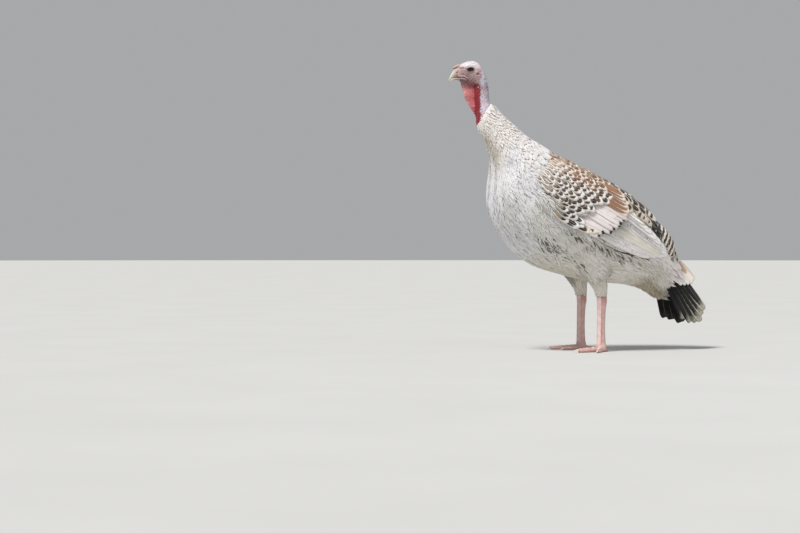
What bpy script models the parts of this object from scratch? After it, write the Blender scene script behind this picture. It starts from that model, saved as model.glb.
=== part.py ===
"""A life-size standing domestic turkey hen, as closed solids in metres with +Z up.

The bird faces -Y with its left side on +X, and its toes rest on z = 0. The sizes in the
first block drive everything: the body is one surface swept through a few measured rings,
and each other piece is placed on that surface or on the head's own axis.
"""

import math
import random

import bmesh
import bpy
import numpy as np

GAP = 0.0003  # what touching pieces keep between their faces
SEED = 11
BOX_SHIFT = 0.024  # moves the whole bird along Y, so that the middle of its box is at 0

# Body rings from the tail root to the top of the bare neck. Each row is the ring's point
# on the back and its point underneath or in front (y, z each), then its half width.
BODY_RINGS = (
    (0.213, 0.258, 0.156, 0.138, 0.041),
    (0.178, 0.299, 0.103, 0.158, 0.061),
    (0.102, 0.361, -0.003, 0.166, 0.084),
    (0.021, 0.407, -0.086, 0.185, 0.094),
    (-0.070, 0.449, -0.165, 0.213, 0.095),
    (-0.137, 0.487, -0.234, 0.281, 0.088),
    (-0.172, 0.506, -0.259, 0.352, 0.076),
    (-0.202, 0.530, -0.254, 0.424, 0.056),
    (-0.235, 0.557, -0.270, 0.485, 0.037),
    (-0.259, 0.581, -0.292, 0.527, 0.026),
    (-0.264, 0.592, -0.294, 0.553, 0.020),
    (-0.265, 0.609, -0.296, 0.581, 0.017),
    (-0.267, 0.630, -0.300, 0.618, 0.016),
)
BODY_EXPONENT = 2.15  # of the superellipse that a ring is
NECK_BASE = 7.0  # ring numbers where the body is parted
NECK_MIDDLE = 9.0
NECK_TOP = 11.15
REAR_DOME = 0.010  # how far the rump rounds out behind the first ring

# The upper neck and the head are turned to the bird's right about this upright line.
TURN_Y = -0.281
HEAD_TURN = math.radians(25.0)
TURN_STARTS = 6.5
TURN_ENDS = 10.0

# Head rings along its own axis. Each row is the distance ahead of the neck's line, the
# top and the bottom, and the half width.
HEAD_RINGS = (
    (-0.0140, 0.636, 0.618, 0.008),
    (-0.0105, 0.643, 0.612, 0.0125),
    (-0.0040, 0.657, 0.611, 0.0155),
    (0.0050, 0.672, 0.614, 0.0173),
    (0.0140, 0.679, 0.618, 0.0175),
    (0.0260, 0.6815, 0.624, 0.0158),
    (0.0380, 0.679, 0.628, 0.0135),
    (0.0500, 0.674, 0.632, 0.0108),
)
EYE_AHEAD = 0.0257
EYE_HEIGHT = 0.6603
EYE_RADIUS = 0.0085
EYE_ASIDE = 0.0083
EYE_DEPTH = 0.0072  # half its width from side to side
EYE_OPENING = (0.0075, 0.0049)  # half length and half height of the gap between the lids
LID = 0.0011
EAR_AHEAD = 0.0085
EAR_HEIGHT = 0.6485
EAR_RADIUS = 0.0042

BILL_BASE = 0.0503  # ahead of the neck's line
BILL_UPPER_RINGS = (  # ahead, top, bottom, half width
    (0.0503, 0.6725, 0.6425, 0.0100),
    (0.0580, 0.6665, 0.6430, 0.0088),
    (0.0650, 0.6615, 0.6425, 0.0072),
    (0.0710, 0.6530, 0.6405, 0.0054),
    (0.0755, 0.6440, 0.6365, 0.0034),
    (0.0780, 0.6370, 0.6340, 0.0014),
)
BILL_LOWER_RINGS = (
    (0.0503, 0.6420, 0.6330, 0.0092),
    (0.0585, 0.6425, 0.6370, 0.0080),
    (0.0660, 0.6420, 0.6365, 0.0062),
    (0.0715, 0.6400, 0.6358, 0.0042),
    (0.0745, 0.6362, 0.6350, 0.0016),
)
NOSTRIL = (0.0572, 0.6548, 0.0024, 0.0013)  # ahead, height, half length, half height
SNOOD = (0.0592, 0.6682, 0.0098, 0.0044, 0.0050)  # ahead, height, then its half sizes
SNOOD_SLOPE = math.radians(-20.0)
MOUTH_CREASE = 0.016  # how far the mouth line runs on into the cheek
MOUTH_HEIGHT = 0.6422

# The flap under the bill, from the jaw down the front of the neck: height, front edge and
# half thickness.
WATTLE_RINGS = (
    (0.6335, 0.0490, 0.0030),
    (0.6240, 0.0485, 0.0045),
    (0.6115, 0.0444, 0.0052),
    (0.5998, 0.0421, 0.0056),
    (0.5834, 0.0339, 0.0058),
    (0.5670, 0.0234, 0.0058),
    (0.5515, 0.0149, 0.0052),
    (0.5342, 0.0117, 0.0036),
)
WATTLE_BACK = 0.004
WATTLE_WAVE = 0.0016

CARUNCLES = 11  # bulbs scattered over the front half of the bare neck
CARUNCLE_SIZES = (0.0016, 0.0027)

LEG_X = 0.056
THIGH_RINGS = (  # height, y, half length along y, half width
    (0.236, -0.030, 0.064, 0.034),
    (0.215, -0.024, 0.053, 0.034),
    (0.192, -0.018, 0.040, 0.030),
    (0.168, -0.011, 0.027, 0.023),
    (0.145, -0.004, 0.0195, 0.0175),
    (0.130, 0.000, 0.0150, 0.0135),
)
SHANK_RINGS = (
    (0.1297, 0.001, 0.0120, 0.0095),
    (0.118, 0.002, 0.0118, 0.0092),
    (0.100, 0.001, 0.0102, 0.0078),
    (0.060, 0.000, 0.0094, 0.0072),
    (0.032, 0.000, 0.0100, 0.0078),
    (0.0205, 0.000, 0.0110, 0.0088),
)
FOOT_TURN = math.radians(20.0)
ANKLE_TOP = 0.0202
TOES = (  # name, angle outwards from the foot's line, length, half width at the root
    ("1", math.radians(-168.0), 0.024, 0.0052),
    ("2", math.radians(-36.0), 0.052, 0.0066),
    ("3", math.radians(0.0), 0.072, 0.0072),
    ("4", math.radians(36.0), 0.057, 0.0064),
)
TOE_HEIGHT = 0.0125
TOE_SECTIONS = 9
CLAW_LENGTH = 0.015

# The folded wing lies on the body's side: ring numbers from its tip to the shoulder, and
# the angles of its lower and upper edges up from the body's side line.
WING_SHOULDER = 4.75
WING_LOW = math.radians(-11.0)
WING_HIGH = math.radians(58.0)
WING_LIFT = 0.0125  # thickness of the shell over the body at the shoulder
WING_SUNK = 0.007
WING_CORE_TIP = 1.15

# Tiers of the wing's feathers, each laid from low to high on the wing. The ring numbers are
# those of the roots and of the lowest and the highest feather's tip, the angles are those of
# the roots and of the tips, and the lifts are over the body at the root, middle and tip.
WING_TIERS = (
    # name, count, root, tips, root angles, tip angles, lifts, half width, roll
    ("primary", 4, 2.7, (1.15, 0.85), (-10, -2), (-11, -1), (0.003, 0.0055, 0.010), 0.0085, 6),
    ("secondary", 9, 3.1, (0.55, 1.75), (-5, 48), (-2, 34), (0.006, 0.0110, 0.017), 0.0112, 9),
    ("greater covert", 9, 3.8, (2.75, 2.10), (-6, 50), (-7, 36), (0.008, 0.0150, 0.0170), 0.0108, 8),
    ("median covert", 7, 4.35, (3.75, 2.85), (-4, 52), (-4, 46), (0.009, 0.0165, 0.0190), 0.0105, 8),
)
VANE_THICK = 0.0011

TAIL_ROOT = (0.158, 0.274)  # y, z
TAIL_DROOP = math.radians(42.0)
TAIL_ROOF = math.radians(60.0)
TAIL_SPREAD = math.radians(34.0)
TAIL_SHORT = 0.164  # the middle feathers' length
TAIL_LONG = 0.232  # and the outer ones'
TAIL_SIDE_COUNT = 8  # feathers on each side of the tail's ridge
TAIL_SHORT_COUNT = 2  # how many of them, from the ridge, are short
TAIL_STEP = 0.00145  # how far each outer feather lies under the one before it
TAIL_HALF = 0.0135  # half width of a tail feather
UPPER_COVERTS = ((7, 0.112, 25.0, 0.0035), (6, 0.088, 24.0, 0.0062))  # count, length, spread, rise
UNDER_COVERTS = ((4, 0.082, 0.0), (4, 0.062, 0.020))  # count, length, step towards the belly
VENT = (0.178, 0.222)  # y, z of the fleshy lobe under the tail's root

COLOURS = {  # colour, roughness
    "skin": ((0.52, 0.42, 0.44), 0.55),
    "bill": ((0.62, 0.55, 0.46), 0.40),
    "snood": ((0.38, 0.24, 0.22), 0.55),
    "wattle": ((0.62, 0.22, 0.22), 0.55),
    "eye": ((0.02, 0.015, 0.012), 0.08),
    "feather": ((0.62, 0.60, 0.58), 0.80),
    "wing": ((0.45, 0.40, 0.37), 0.75),
    "tail": ((0.16, 0.14, 0.12), 0.70),
    "leg": ((0.55, 0.38, 0.36), 0.50),
    "claw": ((0.66, 0.58, 0.48), 0.40),
}


def clear_scene():
    for thing in list(bpy.data.objects):
        bpy.data.objects.remove(thing)
    for mesh in list(bpy.data.meshes):
        bpy.data.meshes.remove(mesh)


def make_material(name):
    colour, roughness = COLOURS[name]
    material = bpy.data.materials.new(name)
    material.use_nodes = True
    shader = material.node_tree.nodes["Principled BSDF"]
    shader.inputs["Base Color"].default_value = (*colour, 1.0)
    shader.inputs["Roughness"].default_value = roughness
    shader.inputs["Metallic"].default_value = 0.0
    material.diffuse_color = (*colour, 1.0)
    return material


def spline(rows, places):
    """Values of a natural cubic through the rows, which stand at 0, 1, 2 and so on."""
    rows = np.asarray(rows, float)
    count = len(rows)
    system = np.eye(count)
    right = np.zeros_like(rows)
    for i in range(1, count - 1):
        system[i, i - 1:i + 2] = (1.0, 4.0, 1.0)
        right[i] = 6.0 * (rows[i - 1] - 2.0 * rows[i] + rows[i + 1])
    bend = np.linalg.solve(system, right)
    places = np.atleast_1d(np.asarray(places, float))
    low = np.clip(np.floor(places).astype(int), 0, count - 2)
    b = (places - low)[:, None]
    a = 1.0 - b
    smooth = ((a ** 3 - a) * bend[low] + (b ** 3 - b) * bend[low + 1]) / 6.0
    return a * rows[low] + b * rows[low + 1] + smooth


def turned(points, angle):
    """Points turned to the bird's right about the upright line through the neck."""
    angle = np.broadcast_to(angle, points.shape[:-1])
    x = points[..., 0]
    y = points[..., 1] - TURN_Y
    out = np.empty_like(points)
    out[..., 0] = x * np.cos(angle) + y * np.sin(angle)
    out[..., 1] = TURN_Y - x * np.sin(angle) + y * np.cos(angle)
    out[..., 2] = points[..., 2]
    return out


def heading(t):
    k = np.clip((np.asarray(t, float) - TURN_STARTS) / (TURN_ENDS - TURN_STARTS), 0.0, 1.0)
    return HEAD_TURN * k * k * (3.0 - 2.0 * k)


def body_point(t, angle, lift=0.0, shrink=1.0, back=0.0):
    """A point of the body's surface at ring number t, with angle 0 on its left side.

    The angle grows towards the back. The point stands off by lift, its ring shrinks by
    shrink about the centre, and back moves the ring along its own axis.
    """
    t, angle, lift, shrink, back = np.broadcast_arrays(
        *[np.asarray(v, float) for v in (t, angle, lift, shrink, back)]
    )
    rows = spline(BODY_RINGS, t.ravel()).reshape(t.shape + (5,))
    upper = np.stack([np.zeros_like(t), rows[..., 0], rows[..., 1]], -1)
    lower = np.stack([np.zeros_like(t), rows[..., 2], rows[..., 3]], -1)
    middle = (upper + lower) / 2.0
    half = np.linalg.norm(upper - lower, axis=-1) / 2.0
    dorsal = (upper - lower) / (2.0 * half[..., None])
    axis = np.stack([np.zeros_like(t), dorsal[..., 2], -dorsal[..., 1]], -1)
    c = np.cos(angle)
    s = np.sin(angle)
    power = 2.0 / BODY_EXPONENT
    across = np.sign(c) * np.abs(c) ** power * (rows[..., 4] * shrink + lift)
    along = np.sign(s) * np.abs(s) ** power * (half * shrink + lift)
    side = np.zeros(t.shape + (3,))
    side[..., 0] = 1.0
    point = middle + side * across[..., None] + dorsal * along[..., None]
    point = point + axis * back[..., None]
    return turned(point, heading(t))


def head_point(ahead, aside, height):
    """A point in the head's own frame: ahead of the neck's line, to its left and up."""
    ahead, aside, height = np.broadcast_arrays(
        *[np.asarray(v, float) for v in (ahead, aside, height)]
    )
    plain = np.stack([aside, TURN_Y - ahead, height], -1)
    return turned(plain, HEAD_TURN)


def mesh_object(name, points, faces, material):
    mesh = bpy.data.meshes.new(name)
    mesh.from_pydata([tuple(p) for p in points], [], faces)
    bm = bmesh.new()
    bm.from_mesh(mesh)
    bmesh.ops.remove_doubles(bm, verts=bm.verts, dist=0.00001)
    bmesh.ops.dissolve_degenerate(bm, dist=0.00001, edges=bm.edges)
    bmesh.ops.recalc_face_normals(bm, faces=bm.faces)
    bm.to_mesh(mesh)
    bm.free()
    mesh.materials.append(material)
    thing = bpy.data.objects.new(name, mesh)
    bpy.context.scene.collection.objects.link(thing)
    return thing


def loft(name, rings, material, smooth=True):
    """A closed solid through rings of equal point counts, its two ends capped flat."""
    rings = np.asarray(rings, float)
    count, around = rings.shape[:2]
    points = rings.reshape(-1, 3)
    faces = []
    for i in range(count - 1):
        for j in range(around):
            k = (j + 1) % around
            faces.append((i * around + j, i * around + k, (i + 1) * around + k, (i + 1) * around + j))
    faces.append(tuple(range(around - 1, -1, -1)))
    faces.append(tuple((count - 1) * around + j for j in range(around)))
    thing = mesh_object(name, points, faces, material)
    if smooth:
        shade_smooth(thing)
    return thing


def slab(name, top, low, material):
    """A closed sheet between two grids of points of one size, triangulated alike."""
    top = np.asarray(top, float)
    low = np.asarray(low, float)
    rows, columns = top.shape[:2]
    count = rows * columns
    faces = []
    for i in range(rows - 1):
        for j in range(columns - 1):
            a = i * columns + j
            b = a + columns
            for corners in ((a, a + 1, b + 1), (a, b + 1, b)):
                faces.append(corners)
                faces.append(tuple(count + c for c in reversed(corners)))
    rim = [(i, 0) for i in range(rows)]
    rim += [(rows - 1, j) for j in range(1, columns)]
    rim += [(i, columns - 1) for i in range(rows - 2, -1, -1)]
    rim += [(0, j) for j in range(columns - 2, 0, -1)]
    numbers = [i * columns + j for i, j in rim]
    for a, b in zip(numbers, numbers[1:] + numbers[:1]):
        faces.append((a, b, count + b))
        faces.append((a, count + b, count + a))
    thing = mesh_object(name, np.concatenate([top.reshape(-1, 3), low.reshape(-1, 3)]), faces, material)
    shade_smooth(thing)
    return thing


def shade_smooth(thing):
    for face in thing.data.polygons:
        face.use_smooth = len(face.vertices) < 5


def ellipsoid(name, centre, axes, halves, material, rings=7, around=12):
    """A closed ellipsoid whose half sizes lie along three given directions."""
    centre = np.asarray(centre, float)
    u, v, w = [np.asarray(a, float) * h for a, h in zip(axes, halves)]
    points = [centre - u]
    for i in range(1, rings):
        polar = math.pi * i / rings
        for j in range(around):
            turn = 2.0 * math.pi * j / around
            ring = v * math.cos(turn) + w * math.sin(turn)
            points.append(centre - u * math.cos(polar) + ring * math.sin(polar))
    points.append(centre + u)
    faces = []
    last = len(points) - 1
    for j in range(around):
        k = (j + 1) % around
        faces.append((0, 1 + j, 1 + k))
        faces.append((last, last - around + k, last - around + j))
        for i in range(rings - 2):
            a = 1 + i * around
            faces.append((a + j, a + around + j, a + around + k, a + k))
    thing = mesh_object(name, points, faces, material)
    shade_smooth(thing)
    return thing


def largest_surface(thing):
    """Keeps only the closed surface with the most volume."""
    bm = bmesh.new()
    bm.from_mesh(thing.data)
    bmesh.ops.remove_doubles(bm, verts=bm.verts, dist=0.000002)
    bmesh.ops.dissolve_degenerate(bm, dist=0.000002, edges=bm.edges)
    bmesh.ops.triangulate(bm, faces=bm.faces)
    pieces = []
    seen = set()
    for start in bm.faces:
        if start in seen:
            continue
        seen.add(start)
        piece = [start]
        for face in piece:
            for edge in face.edges:
                for other in edge.link_faces:
                    if other not in seen:
                        seen.add(other)
                        piece.append(other)
        pieces.append(piece)
    volumes = []
    for piece in pieces:
        volume = 0.0
        for face in piece:
            a, b, c = [v.co for v in face.verts]
            volume += a.dot(b.cross(c)) / 6.0
        volumes.append(volume)
    keep = pieces[volumes.index(max(volumes))]
    drop = [face for piece in pieces if piece is not keep for face in piece]
    if drop:
        bmesh.ops.delete(bm, geom=drop, context="FACES")
    bm.to_mesh(thing.data)
    bm.free()


def apply_modifiers(thing):
    graph = bpy.context.evaluated_depsgraph_get()
    mesh = bpy.data.meshes.new_from_object(thing.evaluated_get(graph))
    thing.modifiers.clear()
    old = thing.data
    thing.data = mesh
    bpy.data.meshes.remove(old)
    mesh.name = thing.name


def fuse(thing, pieces, solver="EXACT"):
    """Joins the pieces to the thing by one union, and removes them."""
    if pieces:
        group = bpy.data.collections.new(thing.name + "_pieces")
        for piece in pieces:
            group.objects.link(piece)
        union = thing.modifiers.new("union", "BOOLEAN")
        union.operation = "UNION"
        union.solver = solver
        union.operand_type = "COLLECTION"
        union.collection = group
        apply_modifiers(thing)
        for piece in pieces:
            bpy.data.objects.remove(piece)
        bpy.data.collections.remove(group)
    largest_surface(thing)
    shade_smooth(thing)
    return thing


def cut(thing, cutters, solver="EXACT"):
    """Takes the cutters out of the thing, and removes them."""
    for cutter in cutters:
        cutter.hide_render = True
        cutter.display_type = "WIRE"
        knife = thing.modifiers.new("cut", "BOOLEAN")
        knife.operation = "DIFFERENCE"
        knife.solver = solver
        knife.object = cutter
    apply_modifiers(thing)
    for cutter in cutters:
        bpy.data.objects.remove(cutter)
    largest_surface(thing)
    shade_smooth(thing)
    return thing


def ring_angles(around):
    return np.arange(around) * 2.0 * math.pi / around


def body_length(name, start, end, rings, around, material, lift=0.0, front_gap=0.0):
    """A length of the body between two ring numbers, with flat ends."""
    angles = ring_angles(around)
    places = np.linspace(start, end, rings)
    stack = [body_point(t, angles, lift) for t in places]
    if front_gap:
        first = stack[0]
        stack[0] = first + unit(stack[1].mean(0) - first.mean(0)) * front_gap
    return loft(name, stack, material)


def unit(vector):
    vector = np.asarray(vector, float)
    return vector / np.linalg.norm(vector, axis=-1, keepdims=True)


TORSO_AROUND = 28
TORSO_RINGS = 20


def torso_rings(lift=0.0):
    angles = ring_angles(TORSO_AROUND)
    stack = []
    for step in (85.0, 62.0, 38.0, 17.0):
        bend = math.radians(step)
        stack.append(body_point(0.0, angles, lift, math.cos(bend), REAR_DOME * math.sin(bend) + lift))
    for t in np.linspace(0.0, NECK_BASE, TORSO_RINGS):
        stack.append(body_point(t, angles, lift))
    return stack


def build_torso(material):
    return loft("torso", torso_rings(), material)


def torso_cutter(material):
    return loft("torso_cutter", torso_rings(GAP), material)


def build_neck(materials):
    lower = body_length("neck_lower", NECK_BASE, NECK_MIDDLE, 8, 24, materials["feather"], front_gap=GAP)
    upper = body_length("neck_upper", NECK_MIDDLE, NECK_TOP, 8, 20, materials["skin"], front_gap=GAP)
    return lower, fuse(upper, caruncles(materials["skin"]))


def caruncles(material):
    """Bulbs of bare skin in a spiral of even steps over both sides of the neck."""
    bulbs = []
    for k in range(CARUNCLES):
        share = (k + 0.5) / CARUNCLES
        t = NECK_MIDDLE + 0.30 + (NECK_TOP - NECK_MIDDLE - 0.55) * share
        sign = 1.0 if k % 2 else -1.0
        angle = -math.pi / 2.0 + sign * math.radians(42.0 + 24.0 * ((k * 0.618) % 1.0))
        spread = (CARUNCLE_SIZES[1] - CARUNCLE_SIZES[0]) * (1.0 - 0.5 * share)
        size = CARUNCLE_SIZES[0] + spread * random.random()
        centre = body_point(t, angle, -0.0004)
        out = unit(body_point(t, angle, 0.01) - body_point(t, angle))
        along = unit(np.cross(out, (0.3, 0.1, 0.9)))
        axes = (out, along, np.cross(out, along))
        bulbs.append(ellipsoid("caruncle", centre, axes, (size * 0.8, size, size), material, 4, 6))
    return bulbs


def ring_in_head(ahead, top, bottom, half, around, exponent=2.2):
    angles = ring_angles(around)
    c = np.cos(angles)
    s = np.sin(angles)
    power = 2.0 / exponent
    aside = np.sign(c) * np.abs(c) ** power * half
    height = (top + bottom) / 2.0 + np.sign(s) * np.abs(s) ** power * (top - bottom) / 2.0
    return head_point(ahead, aside, height)


def head_axes():
    origin = head_point(0.0, 0.0, 0.0)
    forward = head_point(1.0, 0.0, 0.0) - origin
    left = head_point(0.0, 1.0, 0.0) - origin
    return forward, left, np.array((0.0, 0.0, 1.0))


def build_head(material):
    rows = spline(HEAD_RINGS, np.linspace(0.0, len(HEAD_RINGS) - 1.0, 15))
    head = loft("head", [ring_in_head(*row, 24) for row in rows], material)
    stub = body_length("stub", NECK_TOP, 12.0, 5, 20, material, front_gap=GAP)
    forward, left, up = head_axes()
    lids = []
    for side in (1.0, -1.0):
        centre = head_point(EYE_AHEAD, side * EYE_ASIDE, EYE_HEIGHT)
        lids.append(eye_ball("lid", centre, GAP + LID, material, 8, 14))
    fuse(head, [stub] + lids)
    cutters = []
    for side in (1.0, -1.0):
        centre = head_point(EYE_AHEAD, side * EYE_ASIDE, EYE_HEIGHT)
        cutters.append(eye_ball("socket", centre, GAP, material, 10, 16))
        cutters.append(lid_opening(side, material))
        ear = head_point(EAR_AHEAD, side * 0.0182, EAR_HEIGHT)
        halves = (0.0036, EAR_RADIUS * 0.8, EAR_RADIUS)
        cutters.append(ellipsoid("ear", ear, (left, forward, up), halves, material, 6, 12))
        cutters.append(mouth_crease(side, material))
    return cut(head, cutters)


def lid_opening(side, material):
    """An almond prism from the middle of the eye outwards."""
    rings = []
    for out in (0.0, 0.012):
        ring = []
        for angle in ring_angles(14):
            ahead = EYE_OPENING[0] * math.cos(angle)
            height = EYE_OPENING[1] * math.sin(angle) * (1.0 - 0.25 * math.cos(angle) ** 2)
            ring.append(head_point(EYE_AHEAD + ahead, side * (EYE_ASIDE + out), EYE_HEIGHT + height))
        rings.append(ring)
    return loft("opening", rings, material)


def mouth_crease(side, material):
    """A thin wedge along the cheek that carries the mouth line on from the bill."""
    rings = []
    for k in np.linspace(0.0, 1.0, 4):
        ahead = BILL_BASE + 0.002 - (MOUTH_CREASE + 0.002) * k
        height = MOUTH_HEIGHT - 0.0045 * k * k
        half = 0.0007 * (1.0 - 0.6 * k)
        inner = 0.0045 + 0.0055 * k
        rings.append([
            head_point(ahead, side * inner, height),
            head_point(ahead, side * 0.022, height - half),
            head_point(ahead, side * 0.022, height + half),
        ])
    return loft("crease", rings, material)


def eye_ball(name, centre, more, material, rings, around):
    """An eye's flattened ball, larger than the eye all round by more."""
    forward, left, up = head_axes()
    reach = EYE_RADIUS + more
    halves = (EYE_DEPTH + more, reach, reach)
    return ellipsoid(name, centre, (left, forward, up), halves, material, rings, around)


def build_eyes(material):
    eyes = []
    for name, side in (("eye_left", 1.0), ("eye_right", -1.0)):
        centre = head_point(EYE_AHEAD, side * EYE_ASIDE, EYE_HEIGHT)
        eyes.append(eye_ball(name, centre, 0.0, material, 9, 14))
    return eyes


def build_bill(materials):
    upper_rows = spline(BILL_UPPER_RINGS, np.linspace(0.0, len(BILL_UPPER_RINGS) - 1.0, 10))
    upper = loft("bill_upper", [ring_in_head(*row, 16, 2.0) for row in upper_rows], materials["bill"])
    lower_rows = spline(BILL_LOWER_RINGS, np.linspace(0.0, len(BILL_LOWER_RINGS) - 1.0, 8))
    lower = loft("bill_lower", [ring_in_head(*row, 14, 2.0) for row in lower_rows], materials["bill"])
    wide = [ring_in_head(a, t + GAP, b - GAP, h + GAP, 16, 2.0) for a, t, b, h in upper_rows]
    cutter = loft("cutter", wide, materials["bill"])
    cut(lower, [cutter])
    forward, left, up = head_axes()
    ahead, height, half_long, half_high = NOSTRIL
    nostrils = []
    for side in (1.0, -1.0):
        centre = head_point(ahead, side * 0.0088, height)
        nostrils.append(
            ellipsoid("nostril", centre, (left, forward, up), (0.0028, half_long, half_high),
                      materials["bill"], 6, 10)
        )
    cut(upper, nostrils)
    return upper, lower


def build_snood(materials):
    forward, left, up = head_axes()
    ahead, height, half_long, half_high, half_wide = SNOOD
    centre = head_point(ahead, 0.0, height)
    along = forward * math.cos(SNOOD_SLOPE) + up * math.sin(SNOOD_SLOPE)
    axes = (along, left, np.cross(along, left))
    snood = ellipsoid("snood", centre, axes, (half_long, half_wide, half_high), materials["snood"], 9, 14)
    rows = spline(BILL_UPPER_RINGS, np.linspace(0.0, len(BILL_UPPER_RINGS) - 1.0, 10))
    cutter = loft("cutter", [ring_in_head(a, t + GAP, b - GAP, h + GAP, 16, 2.0) for a, t, b, h in rows],
                  materials["bill"])
    rows = spline(HEAD_RINGS, np.linspace(0.0, len(HEAD_RINGS) - 1.0, 15))
    rings = [ring_in_head(a, t + GAP, b - GAP, h + GAP, 24) for a, t, b, h in rows]
    rings[-1] = rings[-1] + forward * GAP
    return cut(snood, [cutter, loft("cutter", rings, materials["bill"])])


def build_wattle(materials):
    rings = []
    for height, front, half in spline(WATTLE_RINGS, np.linspace(0.0, len(WATTLE_RINGS) - 1.0, 14)):
        wave = WATTLE_WAVE * math.sin(height * 190.0)
        ring = []
        for k in np.linspace(0.0, 1.0, 6):
            ahead = WATTLE_BACK + (front - WATTLE_BACK) * k
            thin = half * (1.0 - 0.55 * k * k)
            ring.append((ahead, wave * k + thin))
        for k in np.linspace(1.0, 0.0, 6):
            ahead = WATTLE_BACK + (front - WATTLE_BACK) * k
            thin = half * (1.0 - 0.55 * k * k)
            ring.append((ahead, wave * k - thin))
        rings.append([head_point(a, b, height) for a, b in ring])
    wattle = loft("wattle", rings, materials["wattle"])
    material = materials["skin"]
    rows = spline(HEAD_RINGS, np.linspace(0.0, len(HEAD_RINGS) - 1.0, 15))
    head_rings = [ring_in_head(a, t + GAP, b - GAP, h + GAP, 24) for a, t, b, h in rows]
    cutters = [
        body_length("cutter", NECK_BASE, NECK_MIDDLE, 8, 24, material, GAP),
        body_length("cutter", NECK_MIDDLE - 0.1, 12.0, 12, 20, material, GAP),
        loft("cutter", head_rings, material),
    ]
    cutters.append(lower_bill_cutter(material))
    return cut(wattle, cutters)


def lower_bill_cutter(material):
    rows = spline(BILL_LOWER_RINGS, np.linspace(0.0, len(BILL_LOWER_RINGS) - 1.0, 8))
    rings = [ring_in_head(a, t + GAP, b - GAP, h + GAP, 14, 2.0) for a, t, b, h in rows]
    rings[0] = rings[0] + (rings[0] - rings[1]) * 0.1
    return loft("cutter", rings, material)


def upright_loft(name, rows, side, around, material):
    """A limb through level ellipses given by height, y, half length and half width."""
    rings = []
    for height, y, half_long, half_wide in rows:
        ring = []
        for angle in ring_angles(around):
            x = side * (LEG_X + half_wide * math.cos(angle))
            ring.append((x, y + half_long * math.sin(angle), height))
        rings.append(ring)
    return loft(name, rings, material)


def build_legs(materials):
    things = []
    for name, side in (("left", 1.0), ("right", -1.0)):
        rows = spline(THIGH_RINGS, np.linspace(0.0, len(THIGH_RINGS) - 1.0, 9))
        thigh = upright_loft("thigh_" + name, rows, side, 20, materials["feather"])
        cut(thigh, [torso_cutter(materials["feather"])])
        rows = spline(SHANK_RINGS, np.linspace(0.0, len(SHANK_RINGS) - 1.0, 10))
        shank = upright_loft("shank_" + name, rows, side, 14, materials["leg"])
        things += [thigh, shank]
    return things


def toe_rings(side, angle, length, half):
    """Rings of one toe from the ankle outwards, with a flat sole on z = 0."""
    turn = side * (FOOT_TURN + angle)
    forward = np.array((math.sin(turn), -math.cos(turn), 0.0))
    across = np.array((math.cos(turn), math.sin(turn), 0.0))
    root = np.array((side * LEG_X, 0.0, 0.0))
    rings = []
    for k in np.linspace(0.0, 1.0, TOE_SECTIONS):
        pad = 1.0 + 0.10 * math.cos(k * 3.0 * 2.0 * math.pi)
        wide = half * (1.0 - 0.36 * k) * pad
        tall = TOE_HEIGHT * (1.0 - 0.40 * k) * (1.0 + 0.05 * math.cos(k * 6.0 * math.pi))
        ring = []
        for turn_round in np.linspace(math.radians(-32.0), math.radians(212.0), 9):
            aside = wide * math.cos(turn_round)
            up = tall * 0.42 + tall * 0.58 * math.sin(turn_round)
            ring.append(root + forward * (k * length) + across * aside + np.array((0.0, 0.0, max(up, 0.0))))
        ring[0][2] = 0.0
        ring[-1][2] = 0.0
        rings.append(ring)
    return rings, forward, across


def build_foot(name, side, materials):
    """One foot: a short ankle, four toes with flat soles, and a claw to each toe."""
    rows = (
        (ANKLE_TOP, 0.0, 0.0110, 0.0088),
        (0.0130, 0.0, 0.0125, 0.0110),
        (0.0050, 0.0, 0.0125, 0.0115),
        (0.0, 0.0, 0.0100, 0.0090),
    )
    foot = upright_loft("foot_" + name, rows, side, 14, materials["leg"])
    toes = []
    claws = []
    for number, angle, length, half in TOES:
        rings, forward, across = toe_rings(side, angle, length, half)
        toes.append(loft("toe", rings, materials["leg"]))
        claws.append(build_claw(name + "_" + number, rings[-1], forward, across, materials["claw"]))
    return [fuse(foot, toes)] + claws


def build_claw(name, end, forward, across, material):
    """A curved claw that starts a gap ahead of the toe's flat end."""
    end = np.asarray(end, float)
    low = end[:, 2].min()
    high = end[:, 2].max()
    start = end.mean(0) + forward * GAP
    start[2] = 0.0
    wide = np.abs((end - end.mean(0)) @ across).max() * 0.62
    rings = []
    for k in np.linspace(0.0, 1.0, 6):
        drop = k * k
        middle = low + (high - low) * (0.62 - 0.42 * drop)
        half = max((high - low) * 0.34 * (1.0 - 0.86 * k), 0.0006)
        ring = []
        for angle in ring_angles(8):
            up = max(middle + half * math.sin(angle), 0.0003)
            aside = wide * (1.0 - 0.86 * k) * math.cos(angle)
            ring.append(start + forward * (CLAW_LENGTH * k) + across * aside + np.array((0.0, 0.0, up)))
        rings.append(ring)
    return loft("claw_" + name, rings, material)


def smoothstep(x):
    x = np.clip(x, 0.0, 1.0)
    return x * x * (3.0 - 2.0 * x)


def vane(name, path, across, normal, half, material, thick=VANE_THICK, tip=0.45):
    """A feather's closed blade along a path, ridged over its shaft and flat beneath.

    across and normal are its sideways and upward directions at each point of the path.
    """
    count = len(path)
    widths = np.interp(np.linspace(0.0, 1.0, count), (0.0, 0.3, 0.8, 1.0), (0.45, 0.95, 1.0, tip))
    rings = []
    for point, side, up, width in zip(path, across, normal, widths):
        out = side * (half * width)
        edge = up * (thick * 0.34)
        crest = up * (thick * 0.75)
        low = point - edge
        high = point + edge
        rings.append((low - out, low + out, high + out, point + crest, high - out))
    return loft(name, rings, material)


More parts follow.
